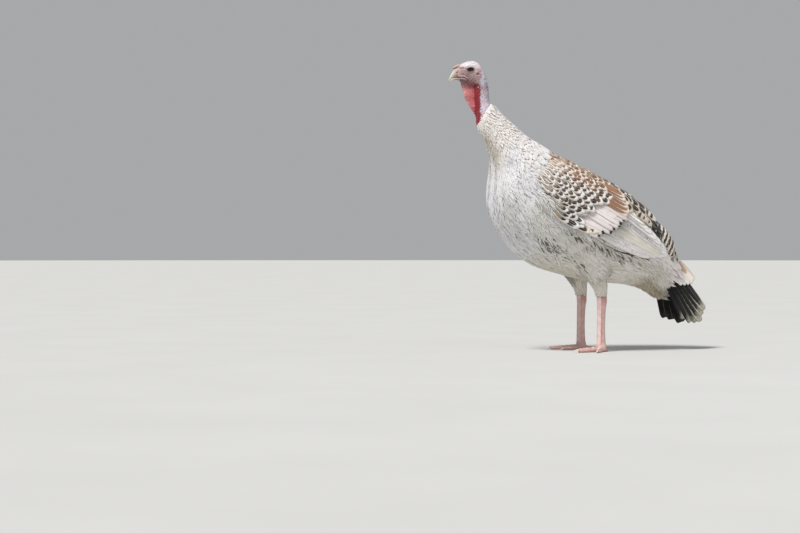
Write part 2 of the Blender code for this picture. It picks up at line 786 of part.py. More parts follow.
def wing_vane(name, places, angles, lifts, roll, side, half, material, steps):
    """One wing feather, from (ring number, angle, lift) at its root, middle and tip."""
    keys = np.array((0.0, 0.5, 1.0))
    at = np.linspace(0.0, 1.0, steps)
    t = np.interp(at, (0.0, 1.0), places)
    angle = np.interp(at, (0.0, 1.0), angles)
    lift = np.interp(at, keys, lifts)
    path = body_point(t, angle, lift)
    outward = unit(body_point(t, angle, lift + 0.01) - path)
    along = unit(np.gradient(path, axis=0))
    across = unit(np.cross(outward, along))
    up = unit(np.cross(along, across))
    tilt = math.tan(roll)
    across = unit(across - up * tilt)
    up = unit(np.cross(along, across))
    for grid in (path, across, up):
        grid[:, 0] *= side
    return vane(name, path, across, up, half, material)


def wing_feathers(side, material):
    """Every tier of one wing, each feather a little unlike its neighbours."""
    pieces = []
    for name, count, root, tips, root_angles, tip_angles, lifts, half, roll in WING_TIERS:
        steps = 5 if name in ("primary", "secondary") else 4
        for k in range(count):
            share = k / (count - 1.0)
            tip = tips[0] + (tips[1] - tips[0]) * share ** 1.3 + random.uniform(-0.03, 0.03)
            start = math.radians(root_angles[0] + (root_angles[1] - root_angles[0]) * share)
            end = tip_angles[0] + (tip_angles[1] - tip_angles[0]) * share + random.uniform(-0.5, 0.5)
            end = math.radians(end)
            pieces.append(wing_vane(name, (root, tip), (start, end), lifts, math.radians(roll), side, half,
                                    material, steps))
    return pieces


def wing_core(name, side, material):
    """The folded wing as one shell on the body's side, from the shoulder to its tip."""
    outer = []
    inner = []
    for u in np.linspace(0.0, 1.0, 11):
        t = WING_SHOULDER + (WING_CORE_TIP - WING_SHOULDER) * u
        nose = math.sqrt(max(1.0 - (1.0 - min(u / 0.16, 1.0)) ** 2, 0.03))
        middle = WING_LOW + (WING_HIGH - WING_LOW) * (0.5 - 0.22 * smoothstep((u - 0.45) / 0.55))
        half = (WING_HIGH - WING_LOW) / 2.0 * (0.55 + 0.45 * nose)
        crest = WING_LIFT * (0.45 + 0.55 * nose) * (1.0 - 0.72 * smoothstep((u - 0.15) / 0.75))
        row_out = []
        row_in = []
        for v in np.linspace(-1.0, 1.0, 9):
            bulge = math.sqrt(max(1.0 - abs(v) ** 2.6, 0.0))
            angle = middle + half * v
            lift = crest * (0.22 + 0.78 * bulge)
            row_out.append(body_point(t, angle, lift))
            row_in.append(body_point(t, angle, min(-WING_SUNK, lift - 0.0015)))
        outer.append(row_out)
        inner.append(row_in)
    outer = np.asarray(outer, float)
    inner = np.asarray(inner, float)
    outer[..., 0] *= side
    inner[..., 0] *= side
    return slab(name, outer, inner, material)


def build_wings(materials):
    wings = []
    for name, side in (("wing_left", 1.0), ("wing_right", -1.0)):
        wing = wing_core(name, side, materials["wing"])
        fuse(wing, wing_feathers(side, materials["wing"]))
        wings.append(cut(wing, [torso_cutter(materials["wing"])]))
    return wings


def tail_frame(angle):
    """Start, direction, side and normal of a tail feather at a fan angle off the middle."""
    start = np.array((0.0, TAIL_ROOT[0], TAIL_ROOT[1]))
    centre = np.array((0.0, math.cos(TAIL_DROOP), -math.sin(TAIL_DROOP)))
    below = np.array((0.0, -math.sin(TAIL_DROOP), -math.cos(TAIL_DROOP)))
    sign = 1.0 if angle >= 0.0 else -1.0
    slope = np.array((sign * math.cos(TAIL_ROOF), 0.0, 0.0)) + below * math.sin(TAIL_ROOF)
    direction = unit(centre * math.cos(abs(angle)) + slope * math.sin(abs(angle)))
    across = unit(slope * math.cos(abs(angle)) - centre * math.sin(abs(angle)))
    normal = unit(np.cross(across, direction)) * -sign
    return start, direction, across, normal


def tail_core(material):
    """The roof-shaped root that carries the tail's feathers, and the lobe under it."""
    angles = np.linspace(-TAIL_SPREAD * 0.95, TAIL_SPREAD * 0.95, 9)
    over = np.array((0.0, math.sin(TAIL_DROOP), math.cos(TAIL_DROOP)))
    tops = []
    lows = []
    for k in np.linspace(0.05, 0.140, 5):
        top = []
        low = []
        for angle in angles:
            start, direction, across, normal = tail_frame(angle)
            point = start + direction * k - normal * TAIL_STEP * TAIL_SIDE_COUNT * abs(angle) / TAIL_SPREAD
            top.append(point + normal * 0.0006)
            low.append(point - over * 0.0120)
        tops.append(top)
        lows.append(low)
    core = slab("tail", tops, lows, material)
    centre = (0.0, VENT[0], VENT[1])
    down = unit((0.0, math.cos(math.radians(62.0)), -math.sin(math.radians(62.0))))
    aside = np.array((1.0, 0.0, 0.0))
    axes = (down, aside, np.cross(down, aside))
    lobe = ellipsoid("lobe", centre, axes, (0.048, 0.026, 0.026), material, 8, 12)
    return core, lobe


def tail_vane(name, angle, reach, rise, half, material, steps):
    """One tail feather at an angle off the ridge, raised or sunk by rise at its tip."""
    start, direction, across, normal = tail_frame(angle)
    at = np.linspace(0.0, 1.0, steps)
    first = 0.058
    lengths = first + (reach - first) * at
    path = start + direction * lengths[:, None] + normal * rise
    path = path + np.array((0.0, 0.0, -1.0)) * (0.006 * at ** 2)[:, None]
    sign = 1.0 if angle >= 0.0 else -1.0
    side = np.tile(across * sign, (steps, 1))
    up = np.tile(normal, (steps, 1))
    return vane(name, path, side, up, half, material, VANE_THICK, 0.72)


def tail_feathers(material):
    pieces = []
    for sign in (1.0, -1.0):
        for k in range(TAIL_SIDE_COUNT):
            angle = sign * TAIL_SPREAD * (k + 0.45) / TAIL_SIDE_COUNT
            reach = TAIL_SHORT + 0.002 * k if k < TAIL_SHORT_COUNT else TAIL_LONG - 0.0028 * (k - 4) ** 2
            reach += random.uniform(-0.002, 0.002)
            rise = -TAIL_STEP * k + (0.0007 if sign > 0.0 else 0.0)
            pieces.append(tail_vane("rectrix", angle, reach, rise, TAIL_HALF, material, 5))
    for count, reach, spread, rise in UPPER_COVERTS:
        for k in range(count):
            share = (k - (count - 1) / 2.0) / ((count - 1) / 2.0)
            angle = math.radians(spread) * share
            height = rise - 0.0042 * abs(share) + 0.0004 * (k % 2)
            end = reach - 0.006 * abs(share)
            pieces.append(tail_vane("upper covert", angle, end, height, 0.0125, material, 4))
    return pieces


def under_tail_feathers(material):
    pieces = []
    for count, reach, step in UNDER_COVERTS:
        for k in range(count):
            share = (k - (count - 1) / 2.0) / (count / 2.0)
            turn = math.radians(24.0) * share
            drop = math.radians(58.0) + step * 6.0
            direction = unit((math.sin(turn), math.cos(turn) * math.cos(drop), -math.sin(drop)))
            start = np.array((0.012 * share, VENT[0] - step, VENT[1] - 0.028 + step * 0.2))
            at = np.linspace(0.0, 1.0, 4)
            path = start + direction * (reach * at)[:, None]
            side = unit(np.cross(direction, (0.0, 0.8, 0.6)))
            side = np.tile(side, (4, 1))
            up = unit(np.cross(side, direction))
            pieces.append(vane("under covert", path, side, up, 0.0125, material, 0.0014, 0.5))
    return pieces


def build_tail(materials):
    material = materials["tail"]
    core, lobe = tail_core(material)
    pieces = [lobe] + tail_feathers(material) + under_tail_feathers(material)
    fuse(core, pieces)
    return cut(core, [torso_cutter(material)])


def main():
    clear_scene()
    random.seed(SEED)
    materials = {name: make_material(name) for name in COLOURS}
    build_torso(materials["feather"])
    build_neck(materials)
    build_head(materials["skin"])
    build_eyes(materials["eye"])
    build_bill(materials)
    build_snood(materials)
    build_wattle(materials)
    build_legs(materials)
    for name, side in (("left", 1.0), ("right", -1.0)):
        build_foot(name, side, materials)
    build_wings(materials)
    build_tail(materials)
    whole = bpy.data.objects.new("whole_bird", None)
    whole.location.y = BOX_SHIFT
    bpy.context.scene.collection.objects.link(whole)
    for thing in bpy.data.objects:
        if thing.type == "MESH":
            thing.parent = whole


if __name__ == "__main__":
    main()
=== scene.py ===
"""A life-size domestic turkey hen as a still museum model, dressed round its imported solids.

The bird faces -Y with its left side on +X and stands on z = 0. One skin runs under the
whole coat, and the feathers are thin closed vanes that are laid on the same body shape.
"""

import logging
import math
from collections import defaultdict
from collections.abc import Callable
from dataclasses import dataclass, field
from enum import Enum

import bmesh
import bpy
import numpy as np
from bpy.types import Material, Mesh, Node, NodeSocket, NodeTree, Object
from mathutils import Matrix, Vector, noise
from mathutils.kdtree import KDTree
from numpy import ndarray as Array


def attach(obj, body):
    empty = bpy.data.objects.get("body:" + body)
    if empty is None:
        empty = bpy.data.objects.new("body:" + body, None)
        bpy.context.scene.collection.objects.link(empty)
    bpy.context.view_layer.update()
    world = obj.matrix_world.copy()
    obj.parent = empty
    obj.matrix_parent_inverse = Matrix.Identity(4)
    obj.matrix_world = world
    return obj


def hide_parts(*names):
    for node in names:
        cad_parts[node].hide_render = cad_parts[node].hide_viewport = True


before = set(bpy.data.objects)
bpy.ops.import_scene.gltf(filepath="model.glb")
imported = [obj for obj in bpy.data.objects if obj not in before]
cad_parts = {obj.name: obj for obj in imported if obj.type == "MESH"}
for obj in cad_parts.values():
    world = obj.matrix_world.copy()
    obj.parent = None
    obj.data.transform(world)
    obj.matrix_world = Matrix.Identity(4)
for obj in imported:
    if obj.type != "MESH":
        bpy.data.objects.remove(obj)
LOG = logging.getLogger("turkey")
SEED = 29
MM = 0.001
MATH = "ShaderNodeMath"
MAP_RANGE = "ShaderNodeMapRange"
MIX = "ShaderNodeMix"
MERGE = 0.000005  # points of one piece that are nearer than this become one
PACE = 0.05  # the step in ring numbers over which the surface's run is measured
NUDGE = 0.02  # the step in ring numbers and in angle that tells which way the surface faces
STAND = 4 * MM  # the lift that tells which side of it is outside
OVER_WING = 0.88  # how much of the wing's bulge lifts the feathers that lie beside it
Colour = str | Array


class Side(Enum):
    """Which side of the bird a piece is on, as the sign of its X."""

    LEFT = 1.0
    RIGHT = -1.0

    @property
    def label(self) -> str:
        """The side as the pieces' names give it."""
        return self.name.lower()


class Outline(Enum):
    """A feather's outline: shares of its length with the half width at each."""

    ROUND = ((0.0, 0.4), (0.3, 0.86), (0.58, 1.0), (0.8, 0.9), (0.93, 0.6), (1.0, 0.2))
    BROAD = ((0.0, 0.4), (0.2, 0.75), (0.45, 0.97), (0.7, 1.0), (0.86, 0.92), (0.95, 0.66), (1.0, 0.26))
    SQUARE = ((0.0, 0.45), (0.15, 0.74), (0.35, 0.9), (0.6, 0.98), (0.8, 1.0), (0.93, 0.96),
              (0.98, 0.84), (1.0, 0.62))
    PLUME = ((0.0, 0.6), (0.3, 1.0), (0.6, 0.8), (0.85, 0.45), (1.0, 0.1))
    LANCE = ((0.0, 0.5), (0.35, 0.92), (0.62, 1.0), (0.82, 0.72), (0.94, 0.4), (1.0, 0.12))


def tone(colour: Colour) -> Array:
    """Turns an sRGB colour written as "#rrggbb" to linear, and hands a linear one back.

    Args:
        colour: Either of them.

    Returns:
        Three linear shares, in rows if they came in rows.
    """
    if not isinstance(colour, str):
        return colour
    shares = np.array([int(colour[i:i + 2], 16) for i in (1, 3, 5)]) / 255
    return np.where(shares <= 0.04045, shares / 12.92, ((shares + 0.055) / 1.055) ** 2.4)


def unit(vectors: Array) -> Array:
    """Vectors of the same directions, one long."""
    return vectors / np.maximum(np.linalg.norm(vectors, axis=-1, keepdims=True), 1e-12)


def smoothstep(x: Array) -> Array:
    """A smooth rise from 0 to 1 as x goes from 0 to 1."""
    x = np.clip(x, 0.0, 1.0)
    return x * x * (3 - 2 * x)


def ramp(x: Array, foot: float, run: float) -> Array:
    """A smooth rise from 0 at the foot to 1 a run further on, where a negative run goes down in x."""
    return smoothstep((x - foot) / run)


def blend(a: Colour, b: Colour, share: Array) -> Array:
    """Colours a and b mixed by a share for each row."""
    share = np.asarray(share, float)[..., None]
    return tone(a) * (1 - share) + tone(b) * share


def circle(count: int) -> Array:
    """Angles spread evenly round a ring."""
    return np.arange(count) * math.tau / count


def natural_cubic(rows: Array, places: Array) -> Array:
    """Reads a natural cubic through rows that stand at 0, 1, 2 and so on.

    Args:
        rows: One row of values for each whole place.
        places: Where to read.

    Returns:
        One row for each place.
    """
    rows = np.asarray(rows, float)
    count = len(rows)
    system = np.eye(count)
    right = np.zeros_like(rows)
    for i in range(1, count - 1):
        system[i, i - 1:i + 2] = (1.0, 4.0, 1.0)
        right[i] = 6 * (rows[i - 1] - 2 * rows[i] + rows[i + 1])
    bend = np.linalg.solve(system, right)
    places = np.atleast_1d(np.asarray(places, float))
    low = np.clip(np.floor(places).astype(int), 0, count - 2)
    b = (places - low)[:, None]
    a = 1 - b
    smooth = ((a ** 3 - a) * bend[low] + (b ** 3 - b) * bend[low + 1]) / 6
    return a * rows[low] + b * rows[low + 1] + smooth


@dataclass(frozen=True)
class BodyShape:
    """The surface out to the coat's tips, swept from the rump to the top of the neck.

    Each ring row is the back's point and the front's point (y, z each), then the half width.
    """

    rings: tuple = (
        (0.213, 0.258, 0.156, 0.138, 0.041),
        (0.178, 0.299, 0.103, 0.158, 0.061),
        (0.102, 0.361, -0.003, 0.166, 0.084),
        (0.021, 0.407, -0.086, 0.185, 0.094),
        (-0.07, 0.449, -0.165, 0.213, 0.095),
        (-0.137, 0.487, -0.234, 0.281, 0.088),
        (-0.172, 0.506, -0.259, 0.352, 0.076),
        (-0.202, 0.53, -0.254, 0.424, 0.056),
        (-0.235, 0.557, -0.27, 0.485, 0.037),
        (-0.259, 0.581, -0.292, 0.527, 0.026),
        (-0.264, 0.592, -0.294, 0.553, 0.02),
        (-0.265, 0.609, -0.296, 0.581, 0.017),
        (-0.267, 0.63, -0.3, 0.618, 0.016),
    )
    exponent: float = 2.15
    shift: float = 0.024
    turn_y: float = -0.281
    head_turn: float = math.radians(25.0)
    turn_starts: float = 6.5
    turn_ends: float = 10.0
    rump_dome: float = 0.01

    def turned(self, points: Array, angle: Array) -> Array:
        """Points turned to the bird's right about the neck's upright line, in the model's frame.

        Args:
            points: Points of the unturned bird.
            angle: The turn at each.

        Returns:
            The turned points.
        """
        angle = np.broadcast_to(angle, points.shape[:-1])
        x = points[..., 0]
        y = points[..., 1] - self.turn_y
        out = np.empty_like(points)
        out[..., 0] = x * np.cos(angle) + y * np.sin(angle)
        out[..., 1] = self.turn_y - x * np.sin(angle) + y * np.cos(angle) + self.shift
        out[..., 2] = points[..., 2]
        return out

    def point(self, t: Array, angle: Array, lift: Array = 0.0, shrink: Array = 1.0,
              back: Array = 0.0) -> Array:
        """Reads the surface.

        Args:
            t: Ring number, which grows from the rump to the head.
            angle: 0 on the left side, growing towards the back.
            lift: How far the point stands off the surface.
            shrink: The ring's size about its middle.
            back: How far the ring moves along its own axis.

        Returns:
            The points.
        """
        t, angle, lift, shrink, back = np.broadcast_arrays(
            *[np.asarray(v, float) for v in (t, angle, lift, shrink, back)]
        )
        rows = natural_cubic(self.rings, t.ravel()).reshape(t.shape + (5,))
        upper = np.stack([np.zeros_like(t), rows[..., 0], rows[..., 1]], -1)
        lower = np.stack([np.zeros_like(t), rows[..., 2], rows[..., 3]], -1)
        half = np.linalg.norm(upper - lower, axis=-1) / 2
        dorsal = (upper - lower) / (2 * half[..., None])
        axis = np.stack([np.zeros_like(t), dorsal[..., 2], -dorsal[..., 1]], -1)
        c = np.cos(angle)
        s = np.sin(angle)
        power = 2 / self.exponent
        across = np.sign(c) * np.abs(c) ** power * (rows[..., 4] * shrink + lift)
        along = np.sign(s) * np.abs(s) ** power * (half * shrink + lift)
        point = (upper + lower) / 2 + dorsal * along[..., None] + axis * back[..., None]
        point[..., 0] += across
        share = (t - self.turn_starts) / (self.turn_ends - self.turn_starts)
        return self.turned(point, self.head_turn * smoothstep(share))

    def pace(self, t: Array, angle: Array) -> Array:
        """How far apart the places a PACE behind and ahead of ring number t are."""
        return np.linalg.norm(self.point(t + PACE, angle) - self.point(t - PACE, angle), axis=1)


@dataclass(frozen=True)
class HeadShape:
    """The head's own axes, and the rings of the head and the bill along them.

    Each ring row is the distance ahead of the neck's line, the top, the bottom and the half width.
    """

    body: BodyShape
    head: tuple = (
        (-0.014, 0.636, 0.618, 0.008),
        (-0.0105, 0.643, 0.612, 0.0125),
        (-0.004, 0.657, 0.611, 0.0155),
        (0.005, 0.672, 0.614, 0.0173),
        (0.014, 0.679, 0.618, 0.0175),
        (0.026, 0.6815, 0.624, 0.0158),
        (0.038, 0.679, 0.628, 0.0135),
        (0.05, 0.674, 0.632, 0.0108),
    )
    upper_bill: tuple = (
        (0.0503, 0.6725, 0.6425, 0.01),
        (0.058, 0.6665, 0.643, 0.0088),
        (0.065, 0.6615, 0.6425, 0.0072),
        (0.071, 0.653, 0.6405, 0.0054),
        (0.0755, 0.644, 0.6365, 0.0034),
        (0.078, 0.637, 0.634, 0.0014),
    )
    lower_bill: tuple = (
        (0.0503, 0.642, 0.633, 0.0092),
        (0.0585, 0.6425, 0.637, 0.008),
        (0.066, 0.642, 0.6365, 0.0062),
        (0.0715, 0.64, 0.6358, 0.0042),
        (0.0745, 0.6362, 0.635, 0.0016),
    )
    flap: tuple = (
        (0.6335, 0.049, 0.003),
        (0.624, 0.0485, 0.0045),
        (0.6115, 0.0444, 0.0052),
        (0.5998, 0.0421, 0.0056),
        (0.5834, 0.0339, 0.0058),
        (0.567, 0.0234, 0.0058),
        (0.5515, 0.0149, 0.0052),
        (0.5342, 0.0117, 0.0036),
    )
    flap_wave: float = 0.0016

    def point(self, ahead: Array, aside: Array, height: Array) -> Array:
        """A point given ahead of the neck's line, to the head's left, and up."""
        ahead, aside, height = np.broadcast_arrays(*[np.asarray(v, float) for v in (ahead, aside, height)])
        plain = np.stack([aside, self.body.turn_y - ahead, height], -1)
        return self.body.turned(plain, self.body.head_turn)

    def own(self, points: Array) -> tuple[Array, Array, Array]:
        """The way back: how far ahead, aside and up each point is."""
        c = math.cos(self.body.head_turn)
        s = math.sin(self.body.head_turn)
        x = points[..., 0]
        y = points[..., 1] - self.body.shift - self.body.turn_y
        return -(x * s + y * c), x * c - y * s, points[..., 2]

    def axes(self) -> tuple[Array, Array, Array]:
        """The head's forward, left and up directions."""
        origin = self.point(0.0, 0.0, 0.0)
        return self.point(1.0, 0.0, 0.0) - origin, self.point(0.0, 1.0,
                                                              0.0) - origin, np.array((0.0, 0.0, 1.0))

    def rings(self, rows: tuple, count: int, around: int, exponent: float) -> list[Array]:
        """Rings of points along the head's axis.

        Args:
            rows: Ring rows as in the fields.
            count: How many rings to read from them.
            around: Points in a ring.
            exponent: Of the superellipse.

        Returns:
            One array of points for each ring.
        """
        angles = circle(around)
        c = np.cos(angles)
        s = np.sin(angles)
        power = 2 / exponent
        stack = []
        for ahead, top, low, half in natural_cubic(rows, np.linspace(0.0, len(rows) - 1, count)):
            aside = np.sign(c) * np.abs(c) ** power * half
            height = (top + low) / 2 + np.sign(s) * np.abs(s) ** power * (top - low) / 2
            stack.append(self.point(ahead, aside, height))
        return stack


@dataclass(frozen=True)
class LegShape:
    """One leg's thigh and shank, as level ellipses: height, y, half length and half width."""

    side: Side
    shift: float
    thigh: tuple = (
        (0.236, -0.03, 0.062, 0.034),
        (0.215, -0.024, 0.05, 0.032),
        (0.192, -0.017, 0.035, 0.026),
        (0.168, -0.008, 0.0215, 0.0185),
        (0.145, -0.002, 0.0145, 0.013),
        (0.13, 0.0, 0.013, 0.0112),
    )
    shank: tuple = (
        (0.133, 0.001, 0.012, 0.0095),
        (0.118, 0.002, 0.0118, 0.0092),
        (0.1, 0.001, 0.0102, 0.0078),
        (0.06, 0.0, 0.0094, 0.0072),
        (0.032, 0.0, 0.01, 0.0078),
        (0.015, 0.0, 0.011, 0.0088),
    )
    aside: float = 0.056

    def point(self, t: Array, angle: Array, lift: Array = 0.0) -> Array:
        """A point of the thigh at ring number t, which grows downwards, with angle 0 outwards."""
        return self.ring(self.thigh, t, angle, lift)

    def ring(self, rows: tuple, t: Array, angle: Array, lift: Array = 0.0) -> Array:
        """A point of the thigh or of the shank, whichever rows are given."""
        t, angle, lift = np.broadcast_arrays(*[np.asarray(v, float) for v in (t, angle, lift)])
        values = natural_cubic(rows, t.ravel()).reshape(t.shape + (4,))
        x = self.side.value * (self.aside + (values[..., 3] + lift) * np.cos(angle))
        y = values[..., 1] + (values[..., 2] + lift) * np.sin(angle) + self.shift
        return np.stack([x, y, values[..., 0]], -1)


@dataclass(frozen=True)
class LobeShape:
    """The fleshy lobe under the tail's root, as an ellipsoid that leans down and back."""

    shift: float
    middle: tuple = (0.178, 0.222)
    slope: float = math.radians(-62.0)
    half_long: float = 0.046
    half_wide: float = 0.025

    def point(self, t: Array, angle: Array, lift: Array = 0.0) -> Array:
        """A point at share t from the lobe's root to its tip, with angle 0 on its left."""
        t, angle, lift = np.broadcast_arrays(*[np.asarray(v, float) for v in (t, angle, lift)])
        polar = math.pi * np.clip(t, 0.02, 1.3)
        down = np.array((0.0, math.cos(self.slope), math.sin(self.slope)))
        over = np.array((0.0, -down[2], down[1]))
        reach = (self.half_wide + lift) * np.sin(np.minimum(polar, math.pi * 0.93))
        run = -(self.half_long + lift) * np.cos(np.minimum(polar, math.pi))
        run = run + np.maximum(polar - math.pi, 0.0) * self.half_long * 0.6
        point = down * run[..., None] + over * (reach * np.sin(angle))[..., None]
        point[..., 0] += reach * np.cos(angle)
        return point + np.array((0.0, self.middle[0] + self.shift, self.middle[1]))


BODY = BodyShape()
HEAD = HeadShape(BODY)


def new_object(name: str, mesh: Mesh) -> Object:
    """Links an object for a mesh into the scene."""
    thing = bpy.data.objects.new(name, mesh)
    bpy.context.scene.collection.objects.link(thing)
    return thing


def mesh_piece(name: str, points: Array, faces: list) -> Object:
    """Makes a closed mesh with its doubles merged and its faces turned outwards.

    Args:
        name: The object's name.
        points: Its points.
        faces: Its faces, as point numbers.

    Returns:
        The new object.
    """
    mesh = bpy.data.meshes.new(name)
    mesh.from_pydata([tuple(p) for p in points], [], faces)
    bm = bmesh.new()
    bm.from_mesh(mesh)
    bmesh.ops.remove_doubles(bm, verts=bm.verts, dist=MERGE)
    bmesh.ops.recalc_face_normals(bm, faces=bm.faces)
    bm.to_mesh(mesh)
    bm.free()
    shade_smooth(mesh)
    return new_object(name, mesh)


def loft(name: str, rings: list) -> Object:
    """A closed piece through rings of equal point counts, each end closed by a fan.

    Args:
        name: The object's name.
        rings: The rings' points, in order.

    Returns:
        The new object.
    """
    rings = np.asarray(rings, float)
    count, around = rings.shape[:2]
    faces = []
    for i in range(count - 1):
        for j in range(around):
            k = (j + 1) % around
            faces.append((i * around + j, i * around + k, (i + 1) * around + k, (i + 1) * around + j))
    points = np.concatenate([rings.reshape(-1, 3), [rings[0].mean(0), rings[-1].mean(0)]])
    first = count * around
    last = (count - 1) * around
    for j in range(around):
        k = (j + 1) % around
        faces.append((first, k, j))
        faces.append((first + 1, last + j, last + k))
    return mesh_piece(name, points, faces)


def ball(name: str, centre: Array, axes: tuple, halves: tuple, rings: int = 24, around: int = 32) -> Object:
    """A closed ellipsoid.

    Args:
        name: The object's name.
        centre: Its middle.
        axes: Three directions at right angles, the first through its poles.
        halves: The half size along each.
        rings: Steps from pole to pole.
        around: Points in a ring.

    Returns:
        The new object.
    """
    u, v, w = [np.asarray(a, float) * h for a, h in zip(axes, halves)]
    turns = circle(around)
    equator = v * np.cos(turns)[:, None] + w * np.sin(turns)[:, None]
    polars = np.linspace(0.0, math.pi, rings + 1)[1:-1]
    return loft(name, [centre - u * math.cos(p) + equator * math.sin(p) for p in polars])


def settle(thing: Object) -> Object:
    """Turns the object's modifiers into plain mesh, and returns it."""
    graph = bpy.context.evaluated_depsgraph_get()
    mesh = bpy.data.meshes.new_from_object(thing.evaluated_get(graph))
    thing.modifiers.clear()
    old = thing.data
    thing.data = mesh
    bpy.data.meshes.remove(old)
    return thing


def combine(thing: Object, others: list, operation: str) -> Object:
    """Joins other closed pieces to one, or cuts them out of it, and removes them.

    Args:
        thing: The piece that is kept.
        others: The pieces to join or to cut with.
        operation: "UNION" or "DIFFERENCE".

    Returns:
        The kept piece.
    """
    for other in others:
        step = thing.modifiers.new("step", "BOOLEAN")
        step.operation = operation
        step.solver = "MANIFOLD"
        step.object = other
    settle(thing)
    for other in others:
        bpy.data.objects.remove(other)
    return thing


def remesh(pieces: list, voxel: float, rounds: int) -> Object:
    """Melts overlapping closed pieces into one even surface.

    Args:
        pieces: The pieces, of which the first is kept.
        voxel: The new surface's cell size.
        rounds: How often it is smoothed.

    Returns:
        The first piece with the new surface.
    """
    bm = bmesh.new()
    for piece in pieces:
        bm.from_mesh(piece.data)
    bm.to_mesh(pieces[0].data)
    bm.free()
    for piece in pieces[1:]:
        bpy.data.objects.remove(piece)
    melt = pieces[0].modifiers.new("melt", "REMESH")
    melt.mode = "VOXEL"
    melt.voxel_size = voxel
    melt.use_smooth_shade = True
    soft = pieces[0].modifiers.new("soft", "SMOOTH")
    soft.factor = 0.5
    soft.iterations = rounds
    return settle(pieces[0])


def positions(mesh: Mesh) -> Array:
    """A mesh's points as an array."""
    values = np.empty(len(mesh.vertices) * 3)
    mesh.vertices.foreach_get("co", values)
    return values.reshape(-1, 3)


def normals(mesh: Mesh) -> Array:
    """A mesh's point normals as an array."""
    values = np.empty(len(mesh.vertices) * 3)
    mesh.vertex_normals.foreach_get("vector", values)
    return values.reshape(-1, 3)


def move_points(mesh: Mesh, co: Array) -> None:
    """Writes a mesh's points back."""
    mesh.vertices.foreach_set("co", co.ravel())
    mesh.update()


def shade_smooth(mesh: Mesh) -> None:
    """Marks every face of a mesh as smooth."""
    mesh.polygons.foreach_set("use_smooth", [True] * len(mesh.polygons))


def paint(mesh: Mesh, name: str, values: Array) -> None:
    """Stores a colour, or one number, for each point of a mesh.

    Args:
        mesh: The mesh.
        name: The attribute's name, which its material reads.
        values: Rows of three or four shares, or single numbers.
    """
    if values.ndim == 1:
        mesh.attributes.new(name, "FLOAT", "POINT").data.foreach_set("value", values)
        return
    if values.shape[1] == 3:
        values = np.concatenate([values, np.ones((len(values), 1))], 1)
    mesh.attributes.new(name, "FLOAT_COLOR", "POINT").data.foreach_set("color", values.ravel())


def finish_piece(thing: Object, material: Material, replaced: tuple = ()) -> None:
    """Gives a piece its material and what it stands for, and reports it.

    Args:
        thing: The piece.
        material: Its finish.
        replaced: The solids that it stands for.
    """
    thing.data.materials.clear()
    thing.data.materials.append(material)
    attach(thing, "root")
    if replaced:
        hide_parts(*replaced)
    thing.data.calc_loop_triangles()
    LOG.info("%-22s %7d triangles", thing.name, len(thing.data.loop_triangles))


def finish_flesh(thing: Object, material: Material, colour: Array,
                 grain: Array, replaced: tuple = ()) -> None:
    """Paints a piece of skin or scale, and finishes it.

    Args:
        thing: The piece.
        material: Its finish.
        colour: A colour for each point, or one for all.
        grain: How granular each point is, or all are.
        replaced: The solids that it stands for.
    """
    count = len(thing.data.vertices)
    paint(thing.data, "tint", np.broadcast_to(colour, (count, 3)))
    paint(thing.data, "grain", np.broadcast_to(np.asarray(grain, float), (count,)).copy())
    finish_piece(thing, material, replaced)


def lumps(points: Array, size: float, seed: float) -> Array:
    """Smooth noise between -1 and 1 at each point.

    Args:
        points: Where to read it.
        size: How large its lumps are.
        seed: Moves the pattern.

    Returns:
        One number for each point.
    """
    shift = Vector((seed, seed * 0.7, -seed))
    return np.array([noise.noise(Vector(p) / size + shift) for p in points])


def feed(tree: NodeTree, node: Node, inputs: tuple | dict) -> None:
    """Sets or links a node's inputs.

    Args:
        tree: The node tree.
        node: The node.
        inputs: In order, or by name or number, each a value, an output or a node, which
            stands for its first output in use.
    """
    for key, value in inputs.items() if isinstance(inputs, dict) else enumerate(inputs):
        if isinstance(value, Node):
            value = next(output for output in value.outputs if output.enabled)
        if isinstance(value, NodeSocket):
            tree.links.new(value, node.inputs[key])
        else:
            node.inputs[key].default_value = value


def add(tree: NodeTree, kind: str, inputs: tuple | dict = (), **settings: object) -> Node:
    """Adds a node.

    Args:
        tree: The node tree.
        kind: The node's type name.
        inputs: What goes into it, as feed takes it.
        settings: Its own properties.

    Returns:
        The new node.
    """
    node = tree.nodes.new(kind)
    for key, value in settings.items():
        setattr(node, key, value)
    feed(tree, node, inputs)
    return node


def new_material(name: str, settings: dict) -> tuple[Material, NodeTree, Node]:
    """Starts a material.

    Args:
        name: Its name.
        settings: Constants on the shader's own sockets.

    Returns:
        The material, its tree and its shader.
    """
    material = bpy.data.materials.new(name)
    material.use_nodes = True
    shader = material.node_tree.nodes["Principled BSDF"]
    feed(material.node_tree, shader, settings)
    return material, material.node_tree, shader


